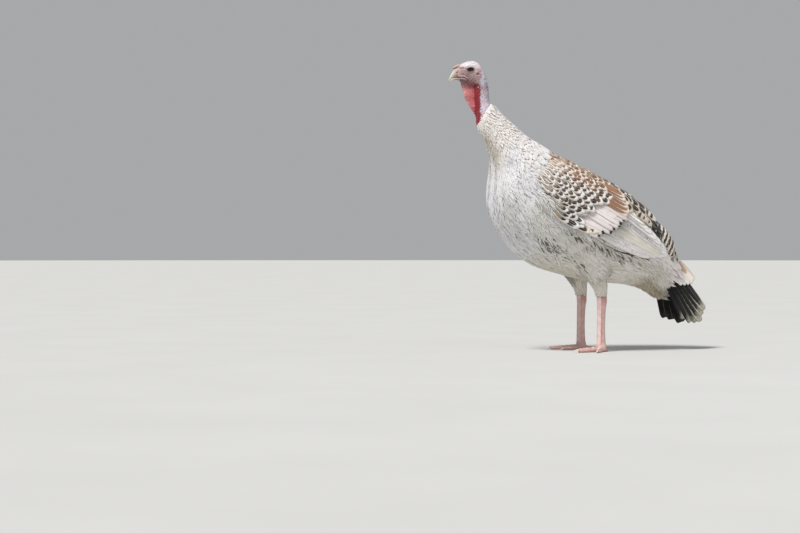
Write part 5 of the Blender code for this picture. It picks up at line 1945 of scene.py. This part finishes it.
    def upper_coverts(self) -> None:
        """Coverts with wide bars down the rump's middle, and white ones down its sides."""
        vanes = Vanes("tail_coverts", self.rng, 7)
        for side in Side:
            for row, (t, reach) in enumerate(((0.3, 0.1), (0.62, 0.081))):
                for k, angle in enumerate((86.0, 70.0, 55.0, 40.0)):
                    start = (t, angle + self.rng.uniform(-2.0, 2.0), -3.0 * MM)
                    height = ((5.0, 7.5, 9.0, 9.0), (9.0, 13.0, 17.0, 18.0))[row][k] * MM
                    finish = (1 + 4.2 * k, reach - 0.003 * k, height)
                    self.bridge(vanes, side, start, finish, 0.0105, self.barred(1),
                                (0.2 + 0.1 * k, 0.04 + t / 10))
            for t in (0.92, 1.2, 1.48):
                angle = np.array((86.0, 70.0, 55.0, 41.0, 28.0)) + self.rng.uniform(-2.0, 2.0, 5)
                tip = np.full(5, t - 0.92)
                lifts = np.tile((-3.0 * MM, 1.2 * MM, 2.6 * MM), (5, 1))
                outline = Outline.BROAD
                path, across, up = lie(BODY, along_rows(np.full(5, t), tip, outline),
                                       along_rows(np.radians(angle), np.radians(angle - 2), outline),
                                       through(lifts, outline), side.value)
                reach = (path[:, -1] - self.start) @ self.axes(0.01)[0]
                place = np.stack([0.2 + angle / 200, np.full(5, 0.04 + t / 10)], 1)
                vanes.lay(path, across, up, np.full(5, 0.011), outline, self.barred(5), place, 0.16, 0.8 * MM,
                          reach)
            for row, (t, less) in enumerate(((0.05, 0.0), (0.3, 0.02), (0.55, 0.04))):
                for k in range(6):
                    angle = 30 - 8 * k + 4 * (row % 2) + self.rng.uniform(-2.0, 2.0)
                    ground = tone("#f2eae6") * self.rng.uniform(0.9, 1.02)
                    dress = Dress(ground[None], tone("#f7f2ef")[None], np.array(((0.1, 0.0, 0.06, 0.0),)))
                    tip = 0.126 - 0.005 * k - less + self.rng.uniform(-0.006, 0.006)
                    finish = (13.5 + 2.9 * k + 1.3 * (row % 2), tip, (5 + 5.5 * row + 0.6 * k) * MM)
                    self.bridge(vanes, side, (t, angle, -3.5 * MM), finish, 0.0098, dress,
                                (0.2 + 0.1 * k, 0.04 + t / 10))
        vanes.build(self.feather, "tail_feathers")

    def fluff(self) -> None:
        """Soft cream and olive plumes round the lobe under the tail and over the fan's lower root."""
        vanes = Vanes("tail_under", self.rng, 5)
        outline = Outline.PLUME
        count = self.lobe_plumes
        t = np.sqrt(self.rng.uniform(0.02, 0.72, count))
        angle = self.rng.uniform(0.0, math.tau, count)
        end = t + self.rng.uniform(0.2, 0.34, count)
        lifts = np.stack([np.full(count, -2.0 * MM), np.full(count, 2.5 * MM),
                          self.rng.uniform(0.0, 8.0, count) * MM], 1)
        turned = angle + self.rng.normal(0.0, 0.35, count)
        chance = self.rng.random(count)
        # The plumes on the lobe's underside are darkened olive as painted shade.
        under = ramp(-np.sin(angle), 0.1, 0.6)
        ground = blend(blend("#dcd3c3", "#a39880", chance), "#857a60", 0.45 * under)
        border = blend("#ece5d8", "#c6bca6", chance)
        marks = np.tile((0.05, 0.0, 0.15, 0.0), (count, 1))
        root = np.stack([angle / math.tau, 0.08 + 0.8 * t], 1)
        half = self.rng.uniform(3.0, 7.0, count) * MM
        vanes.cover(LobeShape(BODY.shift), (t, end), (angle, turned), lifts, half, outline,
                    Dress(ground, border, marks), root, 0.42, 1.4 * MM)
        for side in Side:
            for _ in range(self.fan_plumes):
                share = self.rng.random()
                angle = side.value * math.radians(17 + 21 * share)
                first = self.rng.uniform(0.0, 0.066)
                height = self.level(angle) + self.rng.uniform(0.5, 6.0) * MM * (1 - first / 0.09)
                chance = self.rng.random()
                ground = tone("#e0d8ca") * (1 - chance) + tone("#8f8467") * chance
                dress = Dress(ground[None], (ground * 1.15)[None], np.array(((0.06, 0.0, 0.15, 0.0),)))
                end = first + self.rng.uniform(0.028, 0.042)
                self.lay(vanes, angle + self.rng.normal(0.0, 0.03), first, end,
                         (height - 0.003, height + 0.001), self.rng.uniform(3.0, 5.5) * MM, outline, dress,
                         (0.5 + side.value * 0.45 * share, 0.15), 0.3)
        vanes.build(self.soft, "tail_feathers")

    def build(self) -> None:
        """Makes every row of the tail."""
        self.fan()
        self.upper_coverts()
        self.fluff()


def over_thigh(points: Array, outward: Array) -> Array:
    """How far places on the body have to stand off to clear the left thigh.

    Args:
        points: Places on the body's left side.
        outward: The direction away from the body at each.

    Returns:
        One distance for each place.
    """
    leg = LegShape(Side.LEFT, BODY.shift)
    rows = np.asarray(leg.thigh)[::-1]
    rows = np.concatenate([rows, ((0.262, -0.034, 0.05, 0.018), (0.285, -0.038, 0.001, 0.001))])
    lifts = np.linspace(0.0, 0.032, 33)
    spots = points[..., None, :] + outward[..., None, :] * lifts[:, None]
    middle, long, wide = (np.interp(spots[..., 2], rows[:, 0], rows[:, i]) for i in (1, 2, 3))
    inside = ((spots[..., 0] - leg.aside) / wide) ** 2 + ((spots[..., 1] - middle
                                                           - leg.shift) / long) ** 2 < 1.0
    return lifts[np.argmax(~inside, axis=-1)]


@dataclass
class Plumes:
    """Long soft feathers that hang over the flanks, the thighs and the vent."""

    material: Material
    rng: np.random.Generator
    thigh_count: int = 2300
    flank_count: int = 3300

    def thigh(self, side: Side) -> None:
        """Downward plumes all round one thigh, shortest at the bottom."""
        vanes = Vanes("thigh_plumes_" + side.label, self.rng, 3)
        count = self.thigh_count
        t = -0.7 + 5.35 * self.rng.random(count) ** 0.85
        angle = self.rng.uniform(0.0, math.tau, count)
        long = np.interp(t, (0.0, 2.0, 4.0, 4.9), (0.036, 0.028, 0.015, 0.008))
        long = long * self.rng.uniform(0.8, 1.2, count)
        end = np.minimum(t + long / 0.0225, 4.86 + self.rng.uniform(-0.5, 0.3, count))
        lifts = np.stack([np.full(count, -2.2 * MM), np.full(count, -0.1 * MM),
                          self.rng.uniform(-0.4, 2.4, count) * MM * np.interp(t, (2.0, 4.6), (1.0, 0.4))], 1)
        turned = angle + self.rng.normal(0.0, 0.14, count)
        chance = self.rng.random(count)
        ground = blend("#f0ece4", "#d0c9b8", chance)
        border = blend("#f6f4ef", "#e2dccf", chance)
        marks = np.tile((0.1, 0.0, 0.05, 0.0), (count, 1))
        root = np.stack([angle / math.tau, np.clip(0.12 + t / 6.2, 0.0, 1.0)], 1)
        half = np.interp(t, (0.0, 3.0, 4.9), (3.6, 2.6, 1.7)) * self.rng.uniform(0.8, 1.25, count) * MM
        vanes.cover(LegShape(side, BODY.shift), (t, end), (angle, turned), lifts, half, Outline.PLUME,
                    Dress(ground, border, marks), root, 0.3, 0.6 * MM)
        vanes.build(self.material, "pale_feathers")

    def flank(self, side: Side) -> None:
        """Plumes over the flank and the vent, which cover the wing's lower edge and the thigh's top."""
        vanes = Vanes("flank_plumes_" + side.label, self.rng, 3)
        outline = Outline.PLUME
        count = self.flank_count
        t = self.rng.uniform(-0.1, 4.95, count)
        upper = np.interp(t, (0.2, 1.0, 1.4, 2.1, 2.7, 3.4, 3.9, 4.1, 4.9),
                          (-6.0, -9.0, -12.0, -9.0, -8.0, -8.0, -5.0, 1.0, 4.0))
        lower = np.interp(t, (0.0, 1.2, 2.6, 4.0, 4.9), (-88.0, -88.0, -64.0, -46.0, -30.0))
        depth = self.rng.random(count) ** 1.15
        rise = upper + (lower - upper) * depth
        angle = np.radians(rise)
        end = t - self.rng.uniform(0.32, 0.56, count) * np.interp(t, (0.3, 2.0, 4.9), (1.15, 1.0, 0.7))
        fall = self.rng.normal(-0.09, 0.07, count) * np.interp(rise, (-80.0, -30.0), (0.3, 1.0))
        rear = ramp(t, 1.7, -0.8)
        edge = np.exp(-(depth / 0.12) ** 2) * ramp(t, 5.0, -0.4) * ramp(t, 1.0, 0.6)
        tip = self.rng.uniform(-0.3, 3.0, count) * MM * (1 + 0.9 * rear)
        lifts = np.stack([np.full(count, -3.0 * MM), 0.5 * MM + edge * 2.6 * MM, tip + edge * 4.4 * MM], 1)
        ts = along_rows(t, end, outline)
        angles = along_rows(angle, angle + fall, outline)
        base = BODY.point(ts, angles)
        swell = over_thigh(base, unit(BODY.point(ts, angles, 0.004) - base))
        swell = np.maximum(swell, wing_bulge(ts, np.degrees(angles)) * OVER_WING)
        path, across, up = lie(BODY, ts, angles, through(lifts, outline) + swell, side.value)
        chance = self.rng.random((3, count))
        ground = blend("#f2efea", "#d6cfc0", chance[0])
        front = ramp(t, 3.2, 0.8)
        ground = blend(ground, "#d9d8d9", 0.5 * front)
        ground = blend(ground, blend("#d8ccb6", "#8d8268", chance[1]), rear * ramp(rise, -30.0, -22.0))
        border = blend("#f7f5f1", "#e2ddd0", chance[1])
        border = blend(border, "#cfc3ab", rear * ramp(rise, -30.0, -22.0))
        dark = spot(t, rise, (4.0, -37.0), (0.42, 6.0)) + spot(t, rise, (3.15, -45.0), (0.3, 4.0))
        dark = dark + 0.9 * spot(t, rise, (2.9, -13.0), (0.8, 3.5))
        dark = dark + 0.5 * spot(t, rise, (2.1, -13.0), (0.4, 5.0))
        black = chance[2] < 0.6 * dark
        ground[black] = blend("#6f6862", "#34302d", chance[0])[black]
        flecks = 0.05 + 0.25 * (chance[1] > 0.7) * front + 0.25 * dark
        marks = np.stack([np.full(count, 0.1), np.zeros(count), np.clip(flecks, 0.0, 1.0), np.zeros(count)],
                         1)
        root = np.stack([(angle / math.tau) % 1.0, 0.04 + t / 10], 1)
        half = self.rng.uniform(2.4, 4.8, count) * MM
        vanes.lay(path, across, up, half, outline, Dress(ground, border, marks), root, 0.3, 0.8 * MM)
        vanes.build(self.material, "pale_feathers")

    def build(self) -> None:
        """Makes the plumes of both sides."""
        for side in Side:
            self.thigh(side)
            self.flank(side)


def start_tree(name: str, sizes: dict) -> tuple[NodeTree, Node]:
    """Starts a tree that lays small bodies on what it is given.

    Args:
        name: Its name.
        sizes: Its inputs between the geometry and the material, each with its kind.

    Returns:
        The tree and the node of its inputs.
    """
    tree = bpy.data.node_groups.new(name, "GeometryNodeTree")
    for key, kind in {"Geometry": "Geometry", **sizes, "Material": "Material"}.items():
        tree.interface.new_socket(key, in_out="INPUT", socket_type="NodeSocket" + kind)
    tree.interface.new_socket("Geometry", in_out="OUTPUT", socket_type="NodeSocketGeometry")
    return tree, add(tree, "NodeGroupInput")


def end_tree(tree: NodeTree, given: Node, laid: Node) -> NodeTree:
    """Makes the laid bodies real and smooth, gives them the material, and returns the tree."""
    real = add(tree, "GeometryNodeRealizeInstances", (laid,))
    smooth = add(tree, "GeometryNodeSetShadeSmooth", (real,))
    inputs = {"Geometry": smooth, "Material": given.outputs["Material"]}
    add(tree, "NodeGroupOutput", (add(tree, "GeometryNodeSetMaterial", inputs),))
    return tree


def scute_tree() -> NodeTree:
    """A tree that lays overlapping oval scales along a path.

    Returns:
        The node tree, with inputs for the path, the count, the scales' length and thickness,
        and the material.
    """
    tree, given = start_tree("Scales", {"Count": "Int", "Length": "Float", "Thickness": "Float"})
    curve = add(tree, "GeometryNodeMeshToCurve", {"Mesh": given.outputs["Geometry"]})
    even = add(tree, "GeometryNodeResampleCurve", {"Curve": curve, "Count": given.outputs["Count"]})
    outward = add(tree, "GeometryNodeInputNamedAttribute", {"Name": "outward"}, data_type="FLOAT_VECTOR")
    width = add(tree, "GeometryNodeInputNamedAttribute", {"Name": "width"}, data_type="FLOAT")
    run = add(tree, "GeometryNodeInputTangent")
    stand = add(tree, "FunctionNodeAlignRotationToVector", {"Vector": outward}, axis="Z")
    turn = add(tree, "FunctionNodeAlignRotationToVector",
               {"Rotation": stand, "Vector": run}, axis="Y", pivot_axis="Z")
    size = add(tree, "ShaderNodeCombineXYZ", (width, given.outputs["Length"], given.outputs["Thickness"]))
    scale = add(tree, "GeometryNodeMeshUVSphere", {"Segments": 10, "Rings": 6, "Radius": 1.0})
    laid = add(tree, "GeometryNodeInstanceOnPoints",
               {"Points": even, "Instance": scale, "Rotation": turn,
                "Scale": size})
    return end_tree(tree, given, laid)


def bulb_tree() -> NodeTree:
    """A tree that scatters small bulbs over a surface.

    Returns:
        The node tree, with inputs for the surface, the least distance, the bulbs' size and
        height, the seed and the material.
    """
    tree, given = start_tree("Bulbs", {"Distance": "Float", "Smallest": "Float", "Largest": "Float",
                                       "Height": "Float", "Seed": "Int"})
    spread = add(tree, "GeometryNodeDistributePointsOnFaces",
                 {"Mesh": given.outputs["Geometry"], "Distance Min": given.outputs["Distance"],
                  "Density Max": 400000.0, "Density Factor": 1.0, "Seed": given.outputs["Seed"]},
                 distribute_method="POISSON")
    size = add(tree, "FunctionNodeRandomValue",
               {2: given.outputs["Smallest"], 3: given.outputs["Largest"], "Seed": given.outputs["Seed"]},
               data_type="FLOAT")
    tall = add(tree, MATH, (size, given.outputs["Height"]), operation="MULTIPLY")
    whole = add(tree, "ShaderNodeCombineXYZ", (size, size, tall))
    bulb = add(tree, "GeometryNodeMeshUVSphere", {"Segments": 9, "Rings": 6, "Radius": 1.0})
    laid = add(tree, "GeometryNodeInstanceOnPoints",
               {"Points": spread, "Instance": bulb,
                "Rotation": spread.outputs["Rotation"], "Scale": whole})
    return end_tree(tree, given, laid)


def grow(thing: Object, tree: NodeTree, inputs: dict) -> Object:
    """Runs a node tree on an object and keeps the result as plain mesh.

    Args:
        thing: The object with the path or surface.
        tree: The node tree.
        inputs: Values by the inputs' names.

    Returns:
        The same object with its new mesh.
    """
    step = thing.modifiers.new("grow", "NODES")
    step.node_group = tree
    for item in tree.interface.items_tree:
        if item.in_out == "INPUT" and item.name in inputs:
            step[item.identifier] = inputs[item.name]
    return settle(thing)


@dataclass
class NeckBulbs:
    """Small caruncles and dark pits of bristle feathers on the bare neck."""

    flesh: Material
    tree: NodeTree
    rings: int = 14
    columns: int = 16

    def patch(self, name: str, rise: tuple, t: tuple) -> Object:
        """An open strip of the neck's surface for the bulbs to grow on."""
        low, high = np.radians(rise)
        places = np.linspace(*t, self.rings)
        angles = np.linspace(low, high, self.columns)
        grid = BODY.point(places[:, None], angles[None], -0.2 * MM)
        faces = []
        for i in range(self.rings - 1):
            for j in range(self.columns - 1):
                a = i * self.columns + j
                faces.append((a, a + 1, a + 1 + self.columns, a + self.columns))
        mesh = bpy.data.meshes.new(name)
        mesh.from_pydata([tuple(p) for p in grid.reshape(-1, 3)], [], faces)
        return new_object(name, mesh)

    def build(self) -> None:
        """Grows the pink bulbs low on the neck's front and the dark dots up its back."""
        rows = (  # name, degrees, ring numbers, then distance and sizes in millimetres
            ("neck_bulbs_red", (-150.0, -12.0), (9.05, 11.2), 3.4, (0.9, 1.9), 0.42, 4, "#8f2831"),
            ("neck_bulbs_pale", (-20.0, 200.0), (9.1, 11.9), 4.6, (0.8, 1.7), 0.3, 7, "#c9b6c0"),
            ("neck_dots_dark", (-4.0, 184.0), (9.1, 12.0), 8.6, (0.8, 1.5), 0.35, 9, "#2b2a3c"),
        )
        for name, rise, t, distance, sizes, height, seed, code in rows:
            thing = self.patch(name, rise, t)
            inputs = {"Distance": distance * MM, "Smallest": sizes[0] * MM, "Largest": sizes[1] * MM,
                      "Height": height, "Seed": seed, "Material": self.flesh}
            grow(thing, self.tree, inputs)
            finish_flesh(thing, self.flesh, tone(code), 0.2)


@dataclass
class Leg:
    """One bare leg: shank, foot, toes with their scales, and a claw on each toe."""

    side: Side
    skin: Material
    horn: Material
    tree: NodeTree
    foot_turn: float = math.radians(20.0)
    toes: tuple = (
        ("1", math.radians(-168.0), 0.024, 0.0052),
        ("2", math.radians(-36.0), 0.052, 0.0066),
        ("3", math.radians(0.0), 0.072, 0.0072),
        ("4", math.radians(36.0), 0.057, 0.0064),
    )
    toe_height: float = 12.5 * MM
    claw_length: float = 15 * MM
    lane_points: int = 24  # of the path that a shank's scales follow, and how many they are

    def toe(self, angle: float, length: float, half: float, count: int, around: int) -> tuple:
        """Rings of one toe with a flat sole.

        Args:
            angle: Its turn off the foot's line.
            length: Its length from the ankle's middle.
            half: Its half width at the root.
            count: Rings along it.
            around: Points in a ring.

        Returns:
            The rings, its forward direction and its sideways direction.
        """
        turn = self.side.value * (self.foot_turn + angle)
        forward = np.array((math.sin(turn), -math.cos(turn), 0.0))
        across = np.array((math.cos(turn), math.sin(turn), 0.0))
        root = np.array((self.side.value * LegShape.aside, BODY.shift, 0.0))
        turns = np.linspace(math.radians(-32.0), math.radians(212.0), around)
        rings = []
        for k in np.linspace(0.0, 1.0, count):
            wide = half * (1 - 0.36 * k) * (1 + 0.1 * math.cos(k * 6 * math.pi))
            tall = self.toe_height * (1 - 0.4 * k) * (1 + 0.05 * math.cos(k * 6 * math.pi))
            up = np.maximum(tall * 0.42 + tall * 0.58 * np.sin(turns), 0.0)
            up[0] = 0.0
            up[-1] = 0.0
            ring = root + forward * (k * length) + np.outer(wide * np.cos(turns), across)
            ring[:, 2] += up
            rings.append(ring)
        return rings, forward, across

    def claw(self, name: str, end: Array, forward: Array, across: Array) -> None:
        """A curved claw that grows out of a toe's end."""
        low = end[:, 2].min()
        high = end[:, 2].max()
        start = end.mean(0)
        start[2] = 0.0
        wide = np.abs((end - end.mean(0)) @ across).max() * 0.62
        turns = circle(18)
        rings = []
        for k in np.linspace(0.0, 1.0, 18):
            middle = low + (high - low) * (0.62 - 0.42 * k * k)
            half = max((high - low) * 0.34 * (1 - 0.86 * k), 0.5 * MM)
            ring = start + forward * (self.claw_length * k - 1.2 * MM * (1 - k))
            ring = ring + np.outer(wide * (1 - 0.86 * k) * np.cos(turns), across)
            ring[:, 2] += np.maximum(middle + half * np.sin(turns), 0.2 * MM)
            rings.append(ring)
        thing = loft("horn_" + name, rings)
        run = (positions(thing.data) - start) @ forward / self.claw_length
        paint(thing.data, "tint", blend("#b58f80", "#e3dac6", smoothstep(run * 1.8)))
        finish_piece(thing, self.horn, (name,))

    def scales(self, name: str, points: Array, outward: Array, width: Array, count: int,
               length: float, code: str) -> None:
        """A row of scales along a path.

        Args:
            name: The piece's name.
            points: The path.
            outward: The direction each scale faces.
            width: Half a scale's width at each point.
            count: How many scales.
            length: Half a scale's length.
            code: Their colour.
        """
        mesh = bpy.data.meshes.new(name)
        mesh.from_pydata([tuple(p) for p in points], [(i, i + 1) for i in range(len(points) - 1)], [])
        mesh.attributes.new("outward", "FLOAT_VECTOR", "POINT").data.foreach_set("vector", outward.ravel())
        mesh.attributes.new("width", "FLOAT", "POINT").data.foreach_set("value", width)
        thing = new_object(name, mesh)
        grow(thing, self.tree, {"Count": count, "Length": length, "Thickness": 0.6 * MM,
                                "Material": self.skin})
        colour = blend(code, "#e4cac4", 0.5 + 0.5 * lumps(positions(thing.data), 9 * MM, 4.0))
        finish_flesh(thing, self.skin, colour, 0.15)

    def build(self) -> None:
        """Makes the leg's flesh, its scales and its claws."""
        name = self.side.label
        shape = LegShape(self.side, BODY.shift)
        turns = circle(32)
        steps = np.linspace(0.0, len(shape.shank) - 1, 40)
        pieces = [loft("leg_" + name, [shape.ring(shape.shank, t, turns) for t in steps])]
        rows = ((0.0202, 0.011, 0.0088), (0.013, 0.0125, 0.011), (0.005, 0.0125, 0.0115),
                (0.0006, 0.01, 0.009))
        ankle = []
        for height, long, wide in natural_cubic(rows, np.linspace(0.0, 3.0, 10)):
            x = self.side.value * (LegShape.aside + wide * np.cos(turns))
            ankle.append(np.stack([x, BODY.shift + long * np.sin(turns), np.full(32, max(height, 0.0))], 1))
        pieces.append(loft("ankle", ankle))
        ends = []
        for number, angle, length, half in self.toes:
            rings, forward, across = self.toe(angle, length, half, 36, 22)
            pieces.append(loft("toe", rings))
            ends.append((number, rings, forward, across))
        leg = remesh(pieces, 0.9 * MM, 2)
        co = positions(leg.data)
        co[:, 2] = np.maximum(co[:, 2], 0.0)
        pad = lumps(co, 2 * MM, 7.0)
        co += normals(leg.data) * (pad * 0.22 * MM * ramp(co[:, 2], 0.001, 0.003))[:, None]
        co[:, 2] = np.maximum(co[:, 2], 0.0)
        leg.data.vertices.foreach_set("co", co.ravel())
        broad = lumps(co, 10 * MM, 2.0)
        colour = blend("#d9aaa3", "#e6c6bf", 0.5 + 0.5 * broad)
        colour = blend(colour, "#cf9c94", ramp(co[:, 2], 0.105, 0.02))
        colour = blend(colour, "#b98b79", ramp(co[:, 2], 0.004, -0.004))
        finish_flesh(leg, self.skin, colour, 0.8, ("shank_" + name, "foot_" + name))
        for lane, aside in (("a", -0.6), ("b", 0.6)):
            t = np.linspace(0.35, 4.7, self.lane_points)
            turn = np.full(self.lane_points, -math.pi / 2 + aside)
            points = shape.ring(shape.shank, t, turn, -0.15 * MM)[::-1]
            away = unit(shape.ring(shape.shank, t, turn, 0.002) - shape.ring(shape.shank, t, turn))[::-1]
            width = np.full(self.lane_points, 6.6 * MM)
            self.scales("scales_shank_%s_%s" % (name, lane), points, away, width, self.lane_points, 3.4 * MM,
                        "#d6aea8")
        for number, rings, forward, across in ends:
            rings = np.asarray(rings)
            top = rings[3:-1, 11] - np.array((0.0, 0.0, 0.15 * MM))
            away = np.tile((0.0, 0.0, 1.0), (len(top), 1)) + forward * 0.12
            width = np.linspace(5.0, 3.0, len(top)) * MM
            count = max(int(len(top) * np.linalg.norm(rings[-1, 11] - rings[0, 11]) / 0.0036 / 36), 5)
            self.scales("scales_toe_%s_%s" % (name, number), top, away, width, count, 2.4 * MM, "#c99f97")
            self.claw("claw_%s_%s" % (name, number), rings[-1], forward, across)


@dataclass
class Studio:
    """A pale floor, soft lights and a camera at the photograph's place."""

    azimuth: float = math.radians(65.0)
    distance: float = 4.53
    eye_height: float = 0.24
    eye_aside: float = -0.0312
    pan: float = math.atan2(178.0, 1889.0)  # the picture is wider than the bird, which stands at its right
    pitch: float = math.atan2(16.5, 1889.0)
    lens: float = 85.0
    floor_radius: float = 40.0

    def camera(self) -> None:
        """The camera: an 85 mm lens a few paces off the bird's left front."""
        right = Vector((math.cos(self.azimuth), math.sin(self.azimuth), 0.0))
        toward = Vector((math.sin(self.azimuth), -math.cos(self.azimuth), 0.0))
        place = right * self.eye_aside + toward * self.distance + Vector((0.0, BODY.shift, self.eye_height))
        level = -toward * math.cos(self.pan) - right * math.sin(self.pan)
        side = right * math.cos(self.pan) - toward * math.sin(self.pan)
        ahead = level * math.cos(self.pitch) - Vector((0.0, 0.0, math.sin(self.pitch)))
        up = side.cross(ahead)
        data = bpy.data.cameras.new("camera")
        data.lens = self.lens
        data.sensor_width = 36.0
        data.clip_end = 200.0
        camera = bpy.data.objects.new("camera", data)
        turn = Matrix((side, up, -ahead)).transposed().to_4x4()
        camera.matrix_world = Matrix.Translation(place) @ turn
        bpy.context.scene.collection.objects.link(camera)
        bpy.context.scene.camera = camera

    def light(self, name: str, place: tuple, size: float, power: float, code: str) -> None:
        """One soft square lamp that looks at the bird's middle."""
        data = bpy.data.lights.new(name, "AREA")
        data.shape = "SQUARE"
        data.size = size
        data.energy = power
        data.color = tuple(tone(code))
        lamp = bpy.data.objects.new(name, data)
        lamp.location = place
        lamp.rotation_euler = (Vector((0.0, 0.0, 0.35)) - Vector(place)).to_track_quat("-Z", "Y").to_euler()
        bpy.context.scene.collection.objects.link(lamp)

    def sun(self, place: tuple, spread: float, power: float) -> None:
        """A broad sky light from one direction, which lights the floor evenly."""
        data = bpy.data.lights.new("sky", "SUN")
        data.angle = math.radians(spread)
        data.energy = power
        lamp = bpy.data.objects.new("sky", data)
        lamp.rotation_euler = (-Vector(place)).to_track_quat("-Z", "Y").to_euler()
        bpy.context.scene.collection.objects.link(lamp)

    def floor(self) -> None:
        """A wide flat disc at the level that the bird stands on."""
        turns = circle(96)
        points = np.stack([np.cos(turns), np.sin(turns), np.zeros(96)], 1) * self.floor_radius
        mesh = bpy.data.meshes.new("floor")
        mesh.from_pydata([tuple(p) for p in points], [], [tuple(range(96))])
        mesh.materials.append(FloorFinish().build())
        new_object("floor", mesh)

    def build(self) -> None:
        """Sets up everything round the bird."""
        self.camera()
        self.floor()
        self.sun((0.9, -1.7, 3.0), 16.0, 3.5)
        self.light("fill", (2.6, 1.6, 1.2), 2.6, 12.0, "#f2f6ff")
        world = bpy.data.worlds.new("studio")
        world.use_nodes = True
        world.node_tree.nodes["Background"].inputs[0].default_value = (*tone("#eceef0"), 1.0)
        world.node_tree.nodes["Background"].inputs[1].default_value = 0.46
        bpy.context.scene.world = world
        bpy.context.scene.view_settings.view_transform = "Standard"
        bpy.context.scene.view_settings.look = "None"


def main() -> None:
    """Builds the studio and the bird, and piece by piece."""
    logging.basicConfig(level=logging.INFO, format="%(message)s")
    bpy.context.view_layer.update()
    rng = np.random.default_rng(SEED)
    Studio().build()
    flesh = SkinFinish("bare skin").build()
    scaly = SkinFinish("leg scales", 1.5 * MM, 9 * MM, 0.12, 0.42, 0.6).build()
    coat = FeatherFinish("contour feathers", shaft_strength=0.12).build()
    covert = FeatherFinish("wing coverts", barb_depth=0.08, inner_strength=0.42, shaft_strength=0.2).build()
    flight = FeatherFinish("flight feathers", fleck="#6b4a34", barb_depth=0.08, shaft="#b7a48f",
                           shaft_strength=0.6, root_shade=(0.1, 0.6, 0.9)).build()
    tail = FeatherFinish("tail feathers", shaft="#8d8376", shaft_strength=0.5, root_shade=(0.0, 0.5, 0.85),
                         band_edge=7.0).build()
    plume = FeatherFinish("plumes", fleck="#6a655f", barb_depth=0.1, shaft_strength=0.1,
                          root_shade=(0.2, 0.9, 0.82)).build()
    skin = Skin(flesh)
    body_coat = BodyCoat(coat, rng, skin)
    skin.build(body_coat.under)
    Face(skin, HornFinish("bill horn").build(), EyeFinish().build(), flesh).build()
    NeckBulbs(flesh, bulb_tree()).build()
    body_coat.build()
    for side in Side:
        Wing(side, covert, flight, rng).build()
    Tail(tail, plume, rng).build()
    Plumes(plume, rng).build()
    scutes = scute_tree()
    claw_horn = HornFinish("claw horn", 0.4).build()
    for side in Side:
        Leg(side, scaly, claw_horn, scutes).build()


if __name__ == "__main__":
    main()
